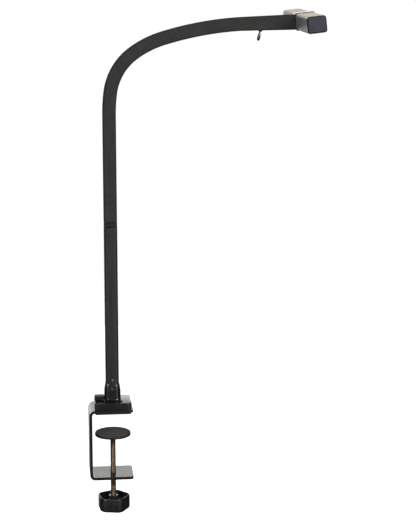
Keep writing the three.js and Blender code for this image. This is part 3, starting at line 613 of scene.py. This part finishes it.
def thread_loops(start, end):
    """Loops up a thread: level sections whose radius follows the helix, fading at both ends."""
    rows = int((end - start) / THREAD_PITCH * ROWS_PER_TURN)
    loops = []
    for row in range(rows + 1):
        turns = row / ROWS_PER_TURN
        fade = min(1, turns, (rows - row) / ROWS_PER_TURN)
        loop = []
        for i in range(TURN_STEPS):
            angle = 2 * math.pi * i / TURN_STEPS
            crest = 1 - abs(2 * ((turns - i / TURN_STEPS) % 1) - 1)
            radius = THREAD_RADIUS - THREAD_DEPTH * (1 - min(1, CREST_WIDENING * crest) * fade)
            height = start + turns * THREAD_PITCH
            loop.append((radius * math.cos(angle), radius * math.sin(angle), height))
        loops.append(loop)
    return loops


def build_screw():
    """The clamp screw with its real thread, and the plain tip held in the pad."""
    low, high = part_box("clamp_screw")
    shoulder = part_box("pressure_plate")[0].z - SCREW_SHOULDER_GAP
    lip = 0.2 * MM
    loops = thread_loops(low.z, shoulder)
    tip = ((SCREW_NECK, shoulder + 0.1 * MM), (SCREW_NECK, high.z - SCREW_TIP_HEIGHT - 0.1 * MM),
           (high.x, high.z - SCREW_TIP_HEIGHT), (high.x, high.z - lip), (high.x - lip, high.z))
    loops += [at_height(circle(radius, TURN_STEPS), height) for radius, height in tip]
    screw = new_object("thread_rod", skin(loops), MATERIALS["bronze_screw"])
    place(keep_edges(screw), "clamp_screw", "bronze_screw", "clamp_screw")


KNOB_LOBES = 5
KNOB_LOBE_AT = math.radians(78)              # from +X to the middle of one lobe
KNOB_WALL = 2.3 * MM
KNOB_EDGE = 1.1 * MM                         # rounding of the rim's outer edge
KNOB_DISH = 10 * MM
KNOB_STEPS = 160
KNOB_FOOT = ((0, 3.2), (0.25, 1.9), (0.8, 0.9), (1.8, 0.25), (3.2, 0))      # rise and inset, in mm
KNOB_DISH_FOOT = ((1.6, 0.2), (0.5, 0.6), (0, 1.7))
HUB_RADIUS = 7.5 * MM
HUB_EDGE = 0.5 * MM
HUB_FILLET = 0.6 * MM                        # where the hub stands on the dish's floor


def star(tip, valley, inset):
    """The knob's outline, drawn in by an inset."""
    points = []
    for i in range(KNOB_STEPS):
        angle = 2 * math.pi * i / KNOB_STEPS
        swing = math.cos(KNOB_LOBES * (angle - KNOB_LOBE_AT))
        radius = (tip + valley) / 2 - inset + (tip - valley) / 2 * swing
        points.append((radius * math.cos(angle), radius * math.sin(angle)))
    return points


def knob_rows(bottom, top):
    """Heights and insets up the knob's outside, over its rim and down into its dish."""
    floor = top - KNOB_DISH
    rows = [(bottom + rise * MM, inset * MM) for rise, inset in KNOB_FOOT]
    inner_edge = KNOB_WALL - KNOB_EDGE
    for angle in quarter_turn():
        rows.append((top - KNOB_EDGE * (1 - math.sin(angle)), KNOB_EDGE * (1 - math.cos(angle))))
    for angle in quarter_turn():
        rows.append((top - inner_edge * (1 - math.cos(angle)),
                     KNOB_EDGE + inner_edge * math.sin(angle)))
    rows += [(floor + rise * MM, KNOB_WALL + inset * MM) for rise, inset in KNOB_DISH_FOOT]
    return rows


def build_knob():
    """The star knob, its rim around a dish, and the hub that stands in the dish."""
    node = frame["nodes"]["clamp_knob"]
    low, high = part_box("clamp_knob")
    radii = [vertex.co.xy.length for vertex in node.data.vertices if vertex.co.z < low.z + MM]
    tip, valley = max(radii), min(radii)
    shape = skin([at_height(star(tip, valley, inset), height)
                  for height, inset in knob_rows(low.z, high.z)])
    knob = new_object("star_knob", shape, MATERIALS["black_plastic"])
    cut(knob, upright(circle(THREAD_BORE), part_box("clamp_screw")[0].z - 0.3 * MM, high.z))
    place(keep_edges(knob, 50), "clamp_screw", "black_plastic", "clamp_knob")

    floor = high.z - KNOB_DISH
    hub_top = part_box("knob_washer")[0].z - SEAM
    foot, foot_top = HUB_RADIUS + HUB_FILLET, floor + 0.1 * MM
    profile = [(THREAD_BORE, floor - MM), (foot, floor - MM), (foot, foot_top),
               (HUB_RADIUS, foot_top + HUB_FILLET), (HUB_RADIUS, hub_top - HUB_EDGE),
               (HUB_RADIUS - HUB_EDGE, hub_top), (THREAD_BORE, hub_top)]
    hub = new_object("star_knob_hub", turned(profile, ring=True), MATERIALS["black_plastic"])
    place(keep_edges(hub), "clamp_screw", "black_plastic", "clamp_knob")


def build_knob_nut():
    """The washer and the hexagon nut on top of the knob's hub."""
    low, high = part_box("knob_washer")
    lip = 0.2 * MM
    profile = [(THREAD_BORE, low.z), (high.x - lip, low.z), (high.x, low.z + lip),
               (high.x, high.z - lip), (high.x - lip, high.z), (THREAD_BORE, high.z)]
    washer = new_object("flat_washer", turned(profile, ring=True), MATERIALS["dark_steel"])
    place(keep_edges(washer), "clamp_screw", "dark_steel", "knob_washer")

    low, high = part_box("knob_nut")
    corners = max(high.x, high.y)
    hexagon = [(-y, x) for x, y in circle(corners, 6)] if high.y > high.x else circle(corners, 6)
    nut = new_object("hex_nut", upright(hexagon, low.z, high.z), MATERIALS["dark_steel"])
    cut(nut, upright(circle(THREAD_BORE), low.z - MM, high.z + MM))
    chamfer = 0.5 * MM
    outside = corners + 2 * MM
    cut(nut, turned([(corners - chamfer, high.z + MM), (outside, high.z + MM),
                     (outside, high.z - 1.6 * MM), (corners - chamfer, high.z)], ring=True))
    place(round_edges(nut, 0.15 * MM, 2), "clamp_screw", "dark_steel", "knob_nut")


# ------------------------ base block, inlet and pole

BLOCK_CORNER = 4 * MM
BLOCK_EDGE = 0.7 * MM              # rounding of the top edge


def build_base_block():
    """The block on the clamp, its top edge rounded and its bottom edge sharp."""
    low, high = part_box("base_block")
    half_x, half_y = (high.x - low.x) / 2, (high.y - low.y) / 2
    loops = [at_height(rounded_rectangle(half_x, half_y, BLOCK_CORNER, CORNER_STEPS), low.z)]
    for angle in quarter_turn():
        inset = BLOCK_EDGE * (1 - math.cos(angle))
        outline = rounded_rectangle(half_x - inset, half_y - inset, BLOCK_CORNER - inset, CORNER_STEPS)
        loops.append(at_height(outline, high.z - BLOCK_EDGE * (1 - math.sin(angle))))
    block = new_object("base_block_cover", skin(loops), MATERIALS["black_coat"])
    place(keep_edges(block, 40), "clamp", "black_coat", "base_block")


INLET_CORNER = 1.1 * MM
INLET_LAP = 8.3 * MM               # from its outer end to where it lies on the foot's flange
BARREL_WALL = 0.4 * MM


def build_inlet():
    """The inlet's cover beside the pole's foot, and the metal barrel in its bore."""
    low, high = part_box("inlet_housing")
    barrel_low, barrel_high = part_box("inlet_barrel")
    middle = (barrel_low + barrel_high) / 2
    flange_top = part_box("foot_flange")[1].z
    outline = rounded_rectangle((high.y - low.y) / 2, (high.z - low.z) / 2, INLET_CORNER)
    across = [[(x, y + (low.y + high.y) / 2, z + (low.z + high.z) / 2) for y, z in outline]
              for x in (low.x, high.x)]
    housing = new_object("inlet_cover", skin(across), MATERIALS["black_plastic"])
    along_x = Matrix.Translation(middle) @ Matrix.Rotation(math.pi / 2, 4, "Y")
    reach = middle.x - low.x + MM
    outer = (barrel_high.y - barrel_low.y) / 2
    bore = outer + 0.15 * MM
    cut(housing, moved(upright(circle(bore), -reach, reach - 2 * MM), along_x))
    under = [(low.x + INLET_LAP, low.y - MM), (high.x + MM, low.y - MM),
             (high.x + MM, high.y + MM), (low.x + INLET_LAP, high.y + MM)]
    cut(housing, upright(under, low.z - MM, flange_top + 0.1 * MM))
    place(round_edges(housing, 0.3 * MM), "clamp", "black_plastic", "inlet_housing")

    inner = outer - BARREL_WALL
    half = (barrel_high.x - barrel_low.x) / 2
    profile = [(inner, -half), (outer, -half), (outer, half), (inner, half)]
    shape = moved(turned(profile, 40, ring=True), along_x)
    barrel = new_object("inlet_sleeve", shape, MATERIALS["bright_steel"])
    place(round_edges(barrel, 0.08 * MM, 2), "clamp", "bright_steel", "inlet_barrel")


POLE_CORNER = 3.4 * MM
POLE_CORNER_STEPS = 10
POLE_WALL = 1.3 * MM
FLANGE_CORNER = 2 * MM
SOCKET_CORNER = 5.5 * MM
SOCKET_TAPER = 6.8 * MM
SOCKET_GAP = 0.15 * MM             # between the pole and the socket's mouth
SOCKET_LIP = 0.6 * MM              # from the pole to the outside of the mouth
SOCKET_FOOT_RISE = 1.2 * MM        # the flare where the socket meets its flange
SOCKET_FOOT_SPREAD = 1.3 * MM
HEX_KEY_RADIUS = 0.75 * MM         # from the middle of the set screw's socket to its corners
HEX_KEY_DEPTH = 0.9 * MM
RIVET_SHANK = 0.7 * MM
RIVET_FLANGE = 0.15 * MM


def build_pole_foot():
    """The flange on the block, the socket that holds the pole, and its set screw."""
    low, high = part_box("foot_flange")
    outline = rounded_rectangle((high.x - low.x) / 2, (high.y - low.y) / 2, FLANGE_CORNER)
    flange = new_object("foot_plate", upright(outline, low.z, high.z), MATERIALS["black_coat"])
    place(round_edges(flange, 0.6 * MM, 4), "clamp", "black_coat", "foot_flange")

    low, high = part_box("pole_socket")
    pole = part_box("pole_tube")[1].x
    wide = high.x
    narrow = pole + SOCKET_LIP
    shoulder = high.z - SOCKET_TAPER
    inside = pole + SOCKET_GAP
    rows = [(wide + SOCKET_FOOT_SPREAD * (1 - math.sin(angle)),
             low.z + SOCKET_FOOT_RISE * (1 - math.cos(angle))) for angle in quarter_turn()]
    rows += [(wide, shoulder - 0.8 * MM), (wide - 0.05 * MM, shoulder),
             (wide - 0.3 * MM, shoulder + 0.8 * MM), (narrow + 0.2 * MM, high.z - 0.3 * MM),
             (narrow, high.z), (inside, high.z), (inside, high.z - 2 * MM)]
    corner_growth = (SOCKET_CORNER - POLE_CORNER) / (wide - pole)
    loops = []
    for half, height in rows:
        corner = POLE_CORNER + (half - pole) * corner_growth
        loops.append(at_height(rounded_rectangle(half, half, corner, CORNER_STEPS), height))
    socket = new_object("pole_sleeve", skin(loops), MATERIALS["black_coat"])
    screw_low, screw_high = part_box("socket_screw")
    to_front = facing_front((screw_low.z + screw_high.z) / 2)
    screw_radius = (screw_high.x - screw_low.x) / 2
    screw_hole = upright(circle(screw_radius + 0.15 * MM), wide - 1.2 * MM, wide + 2 * MM)
    cut(socket, moved(screw_hole, to_front))
    place(keep_edges(socket, 30), "clamp", "black_coat", "pole_socket")

    hexagon = circle(HEX_KEY_RADIUS, 6)
    face = -screw_low.y
    shank = upright(circle(screw_radius, 32), -screw_high.y, face - 0.1 * MM)
    screw = new_object("set_screw", moved(shank, to_front), MATERIALS["dark_steel"])
    cut(screw, moved(upright(hexagon, face - HEX_KEY_DEPTH, face + MM), to_front))
    place(round_edges(screw, 0.12 * MM, 2), "clamp", "dark_steel", "socket_screw")


def build_pole():
    """The square tube with its hollow middle, and the rivet in its front."""
    low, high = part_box("pole_tube")
    outer, inner = high.x, high.x - POLE_WALL
    lip = 0.25 * MM
    rows = ((outer, POLE_CORNER, low.z), (outer, POLE_CORNER, high.z - lip),
            (outer - lip, POLE_CORNER - lip, high.z), (inner, POLE_CORNER - POLE_WALL, high.z),
            (inner, POLE_CORNER - POLE_WALL, low.z))
    loops = [at_height(rounded_rectangle(half, half, corner, POLE_CORNER_STEPS), height)
             for half, corner, height in rows]
    pole = new_object("pole_square_tube", skin(loops, ring=True), MATERIALS["satin_tube"])
    place(keep_edges(pole), "clamp", "satin_tube", "pole_tube")

    rivet_low, rivet_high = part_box("pole_rivet")
    radius = (rivet_high.x - rivet_low.x) / 2
    tail, face = -rivet_high.y, -rivet_low.y
    profile = [(RIVET_SHANK, tail), (RIVET_SHANK, outer + SEAM), (radius, outer + SEAM)]
    dome = face - outer - RIVET_FLANGE
    for angle in quarter_turn(6)[1:-1]:
        profile.append((radius * math.cos(angle), outer + RIVET_FLANGE + dome * math.sin(angle)))
    to_front = facing_front((rivet_low.z + rivet_high.z) / 2)
    rivet = new_object("blind_rivet", moved(turned(profile, 32), to_front), MATERIALS["dark_steel"])
    place(keep_edges(rivet), "clamp", "dark_steel", "pole_rivet")


def build_collar():
    low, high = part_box("swivel_collar")
    half = high.x
    lip = 0.35 * MM
    rows = ((half - lip, low.z), (half, low.z + lip), (half, high.z - lip), (half - lip, high.z))
    loops = [at_height(rounded_rectangle(size, size, POLE_CORNER, POLE_CORNER_STEPS), height)
             for size, height in rows]
    collar = new_object("swivel_ring", skin(loops), MATERIALS["black_plastic"])
    place(round_edges(collar, 0.1 * MM, 2), "clamp", "black_plastic", "swivel_collar")


# ------------------------ flexible neck

NECK_STRAIGHT = 116.4 * MM
NECK_BENDS = ((182 * MM, 7.5), (62 * MM, 47), (108 * MM, 18.8), (364 * MM, 13.3))      # radius, degrees
NECK_CORNER = 2.7 * MM
NECK_STEP = 2.5 * MM
FIRST_HINGE = 30 * MM
HINGE_PITCH = 50 * MM
HINGE_COUNT = 6
LAST_SECTION = 30 * MM
NECK_LENGTH = FIRST_HINGE + (HINGE_COUNT - 1) * HINGE_PITCH + LAST_SECTION
SLEEVE_LENGTH = NECK_LENGTH + 0.15 * MM


def neck_at(length):
    """The neck's middle line at a length along it: its point in X and Z, and its heading."""
    heading = math.pi / 2
    x = 0.0
    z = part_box("neck_cover_1")[0].z + min(length, NECK_STRAIGHT)
    left = max(length - NECK_STRAIGHT, 0)
    for radius, degrees in NECK_BENDS:
        run = min(left, radius * math.radians(degrees))
        after = heading - run / radius
        x += radius * (math.sin(heading) - math.sin(after))
        z += radius * (math.cos(after) - math.cos(heading))
        heading = after
        left -= run
    return x + left * math.cos(heading), z + left * math.sin(heading), heading


def neck_loop(length, half, corner):
    """The sleeve's outline, square to the neck at a length along it."""
    x, z, heading = neck_at(length)
    return [(x - v * math.sin(heading), u, z + v * math.cos(heading))
            for u, v in rounded_rectangle(half, half, corner, CORNER_STEPS)]


def build_neck():
    """The sleeve, in pieces that each reach across one hinge and meet halfway between hinges."""
    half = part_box("neck_cover_1")[1].y
    lip = 0.5 * MM
    for i in range(HINGE_COUNT):
        first, last = i == 0, i == HINGE_COUNT - 1
        hinge = FIRST_HINGE + i * HINGE_PITCH
        start = 0 if first else hinge - HINGE_PITCH / 2
        end = SLEEVE_LENGTH if last else hinge + HINGE_PITCH / 2
        count = round((end - start) / NECK_STEP)
        loops = [neck_loop(start + (end - start) * k / count, half, NECK_CORNER)
                 for k in range(count + 1)]
        if first:
            loops[:1] = [neck_loop(0, half - lip, NECK_CORNER - lip),
                         neck_loop(0.15 * MM, half - 0.15 * MM, NECK_CORNER),
                         neck_loop(lip, half, NECK_CORNER)]
        piece = new_object(f"neck_sleeve_{i + 1}", skin(loops), MATERIALS["neck_rubber"])
        keep_edges(piece, 50)
        bend_from, bend_to = max(start, hinge - HINGE_PITCH / 2), min(end, hinge + HINGE_PITCH / 2)
        points = [(x, 0, z) for x, z, _ in (neck_at(bend_from), neck_at(bend_to))]
        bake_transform(piece)
        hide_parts(f"neck_cover_{i + 1}", *(["neck_cover_7"] if last else []))


# ------------------------ arm end and switch

LEVER_TILT = math.radians(11)                # from straight down, towards the pole
LEVER_ROOM = 1.65 * MM                       # the radius of the bushing's bore
LEVER_PROFILE = (                            # radius and height over the pivot, in millimetres
    (0.3, -13.6), (0.75, -13.45), (1.2, -13.0), (1.5, -12.2), (1.68, -11.2), (1.74, -10.2),
    (1.7, -9.1), (1.55, -7.8), (1.33, -6.6), (1.1, -5.4), (0.9, -4.3), (0.8, -3.4),
    (0.8, -1.3), (1.1, -0.85), (1.4, -0.4), (1.45, 0.1), (1.2, 0.8), (0.5, 1.3))


def build_arm_end():
    """The sleeve's last part, the switch's bushing in it and the switch's lever."""
    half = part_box("arm_end_housing")[1].y
    high = box_in("arm_end_housing", HEAD)[1]
    to_head = HEAD.inverted()
    points = [to_head @ vertex.co for vertex in frame["nodes"]["arm_end_housing"].data.vertices]
    half_end = max(point.z for point in points if point.x > high.x - 0.1 * MM)
    lip = 0.4 * MM
    loops = [[Vector(point) for point in neck_loop(SLEEVE_LENGTH, half, NECK_CORNER)]]
    for x, inset in ((high.x - lip, 0), (high.x - 0.12 * MM, 0.12 * MM), (high.x, lip)):
        outline = rounded_rectangle(half - inset, half_end - inset, NECK_CORNER - inset, CORNER_STEPS)
        loops.append([HEAD @ Vector((x, u, v)) for u, v in outline])
    housing = new_object("arm_end_sleeve", skin(loops), MATERIALS["neck_rubber"])
    bush_low, bush_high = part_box("switch_bushing")
    middle = (bush_low.x + bush_high.x) / 2
    radius = (bush_high.x - bush_low.x) / 2
    cut(housing, upright(circle(radius + 0.2 * MM, 32), bush_low.z - MM, bush_high.z, (middle, 0)))
    place(keep_edges(housing, 30), "arm_end", "neck_rubber", "arm_end_housing")

    lip = 0.25 * MM
    profile = [(LEVER_ROOM + lip, bush_low.z), (radius - lip, bush_low.z), (radius, bush_low.z + lip),
               (radius, bush_high.z), (LEVER_ROOM - 0.1 * MM, bush_high.z),
               (LEVER_ROOM, bush_low.z + lip)]
    shape = moved(turned(profile, 40, ring=True), Matrix.Translation((middle, 0, 0)))
    bushing = new_object("toggle_bushing", shape, MATERIALS["dark_steel"])
    place(keep_edges(bushing), "arm_end", "dark_steel", "switch_bushing")

    pivot = Vector(joint_named("switch_toggle")["pos_m"])
    axes = Matrix.Translation(pivot) @ Matrix.Rotation(LEVER_TILT, 4, "Y")
    profile = [(radius * MM, height * MM) for radius, height in LEVER_PROFILE]
    lever = new_object("toggle_lever", moved(turned(profile, 32), axes), MATERIALS["black_plastic"])
    place(keep_edges(lever), "switch_lever", "black_plastic", "switch_lever")


# ------------------------ light head

BAR_CORNER = 2.6 * MM
BAR_WALL = 1.2 * MM
BAR_LIP = 1 * MM                   # the thickness of the flange on each side of the slot
SLOT_HALF = 6.8 * MM
BAND_CORNER = 1.6 * MM


def along_bar(outline, y):
    """An outline in the head's X and Z, set at a place along the bar."""
    return [(x, y, z) for x, z in outline]


def build_head_housing():
    """The bar's open profile, and the diffuser in its slot."""
    low, high = box_in("head_housing", HEAD)
    inner_x, inner_z = high.x - BAR_WALL, high.z - BAR_WALL
    outline = [(SLOT_HALF, low.z)]
    around = rounded_rectangle(high.x, high.z, BAR_CORNER, CORNER_STEPS)
    last_quarter = 3 * (CORNER_STEPS + 1)
    outline += around[last_quarter:] + around[:last_quarter]
    shelf = low.z + BAR_LIP
    outline += [(-SLOT_HALF, low.z), (-SLOT_HALF, shelf), (-inner_x, shelf), (-inner_x, inner_z),
                (inner_x, inner_z), (inner_x, shelf), (SLOT_HALF, shelf)]
    bar = new_object("bar_profile", lengthwise(outline, low.y, high.y), MATERIALS["head_aluminium"])
    keep_edges(bar, 30)
    bar.matrix_world = HEAD
    place(bar, "head", "head_aluminium", "head_housing")

    low, high = box_in("diffuser", HEAD)
    narrow = SLOT_HALF - 0.3 * MM
    shelf = low.z + 1.2 * MM
    outline = [(-narrow, low.z), (narrow, low.z), (narrow, shelf), (high.x, shelf),
               (high.x, high.z), (-high.x, high.z), (-high.x, shelf), (-narrow, shelf)]
    lens = new_object("opal_strip", lengthwise(outline, low.y, high.y), MATERIALS["opal_diffuser"])
    lens.matrix_world = HEAD
    place(round_edges(lens, 0.2 * MM, 2), "head", "opal_diffuser", "diffuser")


def build_head_band():
    low, high = box_in("head_band", HEAD)
    wall = high.z - box_in("head_housing", HEAD)[1].z - SEAM
    lip = wall / 3
    rows = ((0, low.y + lip), (lip, low.y), (wall, low.y),
            (wall, high.y), (lip, high.y), (0, high.y - lip))
    loops = [along_bar(rounded_rectangle(high.x - inset, high.z - inset, BAND_CORNER - inset / 2), y)
             for inset, y in rows]
    band = new_object("bar_strap", moved(skin(loops, ring=True), HEAD), MATERIALS["black_coat"])
    place(keep_edges(band, 30), "head", "black_coat", "head_band")


CAP_CORNER = 3 * MM
CAP_CORNER_LOSS = 0.6              # of the corner's radius, for each unit of inset
CAP_EDGE = 1.4 * MM
CAP_THICKNESS = 1.9 * MM


def build_end_caps():
    for name, side in (("front", -1), ("back", 1)):
        node = f"end_cap_{name}"
        low, high = box_in(node, HEAD)
        outer = low.y if side < 0 else high.y
        rows = [(0, outer - side * CAP_THICKNESS)]
        rows += [(CAP_EDGE * (1 - math.cos(angle)), outer - side * CAP_EDGE * (1 - math.sin(angle)))
                 for angle in quarter_turn()]
        rows.append((CAP_EDGE + 0.5 * MM, outer))
        loops = []
        for inset, y in rows:
            corner = CAP_CORNER - CAP_CORNER_LOSS * inset
            outline = rounded_rectangle(high.x - inset, high.z - inset, corner, CORNER_STEPS)
            loops.append(along_bar(outline, y))
        cap = new_object(f"bar_cap_{name}", skin(loops), MATERIALS["cap_plastic"])
        keep_edges(cap, 40)
        cap.matrix_world = HEAD
        place(cap, "head", "cap_plastic", node)


# ------------------------ floor, world and lights

FLOOR_MIDDLE = Vector((0.1, 0, -0.17))
FLOOR_RADIUS = 1.1
FLOOR_THICKNESS = 0.01


def build_floor():
    disc = upright(circle(FLOOR_RADIUS, 96), -FLOOR_THICKNESS, 0)
    floor = new_object("floor", moved(disc, Matrix.Translation(FLOOR_MIDDLE)), floor_material())
    floor.visible_glossy = False
    floor.visible_diffuse = False


def floor_material():
    """Pale and a little bright by itself, so that it melts into the backdrop."""
    finish = Finish("floor", Roughness=0.9)
    cloud = finish.noise(0.3, detail=2)
    finish.color(finish.blend(cloud, shade(0.92), shade(0.95)))
    finish.shader.inputs["Emission Color"].default_value = (1, 1, 1, 1)
    finish.shader.inputs["Emission Strength"].default_value = 0.9
    return finish.material


BACKDROP = 1.75                  # what the lamp sees behind it
BACK_LOW = 0.3                   # the part of it that is left below the horizon
SIDES = 0.05
FRONT_LOW = 0.20                 # in front, below the horizon
FRONT_HIGH = 0.30                # in front, above it
STRIP_LEFT = 0.60                # upright strips, each STRIP_TURN to one side of the camera
STRIP_RIGHT = 0.90
STRIP_TURN = 38

# Where each light field begins and reaches its full strength, in degrees.
BACK_EDGE = (30, 24)
BACK_HORIZON = (-12, -8)
BACK_FOOT = (-24, -18)
BACK_TOP = (30, 24)
FRONT_EDGE = (95, 125)
FRONT_HORIZON = (-4, 8)
FRONT_TOP = (70, 50)
STRIP_EDGE = (13, 9)
STRIP_FOOT = (-35, -28)
STRIP_TOP = (16, 8)


def build_world():
    """A white studio: a bright backdrop, dark sides, a dimmer front and two upright strips in it."""
    world = bpy.data.worlds.new("studio")
    bpy.context.scene.world = world
    world.use_nodes = True
    nodes, links = world.node_tree.nodes, world.node_tree.links
    places = nodes.new("ShaderNodeTexCoord")
    split = nodes.new("ShaderNodeSeparateXYZ")
    links.new(places.outputs["Generated"], split.inputs["Vector"])

    def maths(operation, *values):
        node = nodes.new("ShaderNodeMath")
        node.operation = operation
        for socket, value in zip(node.inputs, values):
            if isinstance(value, bpy.types.NodeSocket):
                links.new(value, socket)
            else:
                socket.default_value = value
        return node.outputs["Value"]

    def fade(value, degrees, low=0.0, high=1.0):
        node = nodes.new("ShaderNodeMapRange")
        node.interpolation_type = "SMOOTHSTEP"
        links.new(value, node.inputs["Value"])
        limits = (math.radians(degrees[0]), math.radians(degrees[1]), low, high)
        for name, number in zip(("From Min", "From Max", "To Min", "To Max"), limits):
            node.inputs[name].default_value = number
        return node.outputs["Result"]

    heading = maths("ARCTAN2", split.outputs["X"], split.outputs["Y"])
    turn = maths("ABSOLUTE", heading)
    rise = maths("ARCSINE", split.outputs["Z"])
    back = maths("MULTIPLY", fade(turn, BACK_EDGE, 0, BACKDROP - SIDES),
                 fade(rise, BACK_HORIZON, BACK_LOW, 1))
    back = maths("MULTIPLY", back, fade(rise, BACK_FOOT))
    back = maths("MULTIPLY", back, fade(rise, BACK_TOP))
    front = maths("MULTIPLY", fade(turn, FRONT_EDGE), fade(rise, FRONT_HORIZON, FRONT_LOW, FRONT_HIGH))
    front = maths("MULTIPLY", front, fade(rise, FRONT_TOP))
    level = maths("ADD", maths("ADD", back, front), SIDES)
    towards_camera = 180 + math.degrees(CAMERA_YAW)
    for side, strength in ((-1, STRIP_RIGHT), (1, STRIP_LEFT)):
        middle = (towards_camera + side * STRIP_TURN + 180) % 360 - 180
        off = maths("ABSOLUTE", maths("SUBTRACT", heading, math.radians(middle)))
        strip = maths("MULTIPLY", fade(off, STRIP_EDGE, 0, strength), fade(rise, STRIP_FOOT))
        strip = maths("MULTIPLY", strip, fade(rise, STRIP_TOP))
        level = maths("ADD", level, strip)
    studio = nodes["Background"]
    links.new(level, studio.inputs["Strength"])
    studio.inputs["Color"].default_value = (1, 0.995, 0.965, 1)

    backdrop = nodes.new("ShaderNodeBackground")
    backdrop.inputs["Color"].default_value = (1, 1, 1, 1)
    path = nodes.new("ShaderNodeLightPath")
    either = nodes.new("ShaderNodeMixShader")
    links.new(path.outputs["Is Camera Ray"], either.inputs["Fac"])
    links.new(studio.outputs["Background"], either.inputs[1])
    links.new(backdrop.outputs["Background"], either.inputs[2])
    links.new(either.outputs["Shader"], nodes["World Output"].inputs["Surface"])


LIGHT_TARGET = Vector((0.05, 0, 0.1))
LIGHT_DISTANCE = 2.0


def add_softbox(name, turn, rise, size, power, glints_only=False):
    """A softbox some degrees to the camera's right, seen from the lamp, and above the horizon."""
    turn = math.radians(turn) - CAMERA_YAW
    rise = math.radians(rise)
    away = Vector((math.sin(turn) * math.cos(rise), -math.cos(turn) * math.cos(rise), math.sin(rise)))
    data = bpy.data.lights.new(name, "AREA")
    data.shape = "SQUARE"
    data.size = size
    data.energy = power
    light = bpy.data.objects.new(name, data)
    light.location = LIGHT_TARGET + away * LIGHT_DISTANCE
    light.rotation_euler = away.to_track_quat("Z", "Y").to_euler()
    light.visible_diffuse = not glints_only
    bpy.context.scene.collection.objects.link(light)


def build_lights():
    """A broad softbox on each side for the shapes, and a small bright one for the glints."""
    add_softbox("right_softbox", turn=38, rise=32, size=0.8, power=14)
    add_softbox("left_softbox", turn=-38, rise=32, size=0.8, power=7)
    add_softbox("right_glint", turn=34, rise=27, size=0.25, power=45, glints_only=True)
    add_softbox("left_glint", turn=-34, rise=27, size=0.25, power=32, glints_only=True)


# ------------------------ the whole scene

add_camera()
paint_cad_nodes()
build_strap()
build_jaw_pad()
build_screw_bush()
build_pressure_pad()
build_screw()
build_knob()
build_knob_nut()
build_base_block()
build_inlet()
build_pole_foot()
build_pole()
build_collar()
build_neck()
build_arm_end()
build_head_housing()
build_head_band()
build_end_caps()
build_floor()
build_world()
build_lights()
bpy.context.scene.view_settings.view_transform = "Standard"
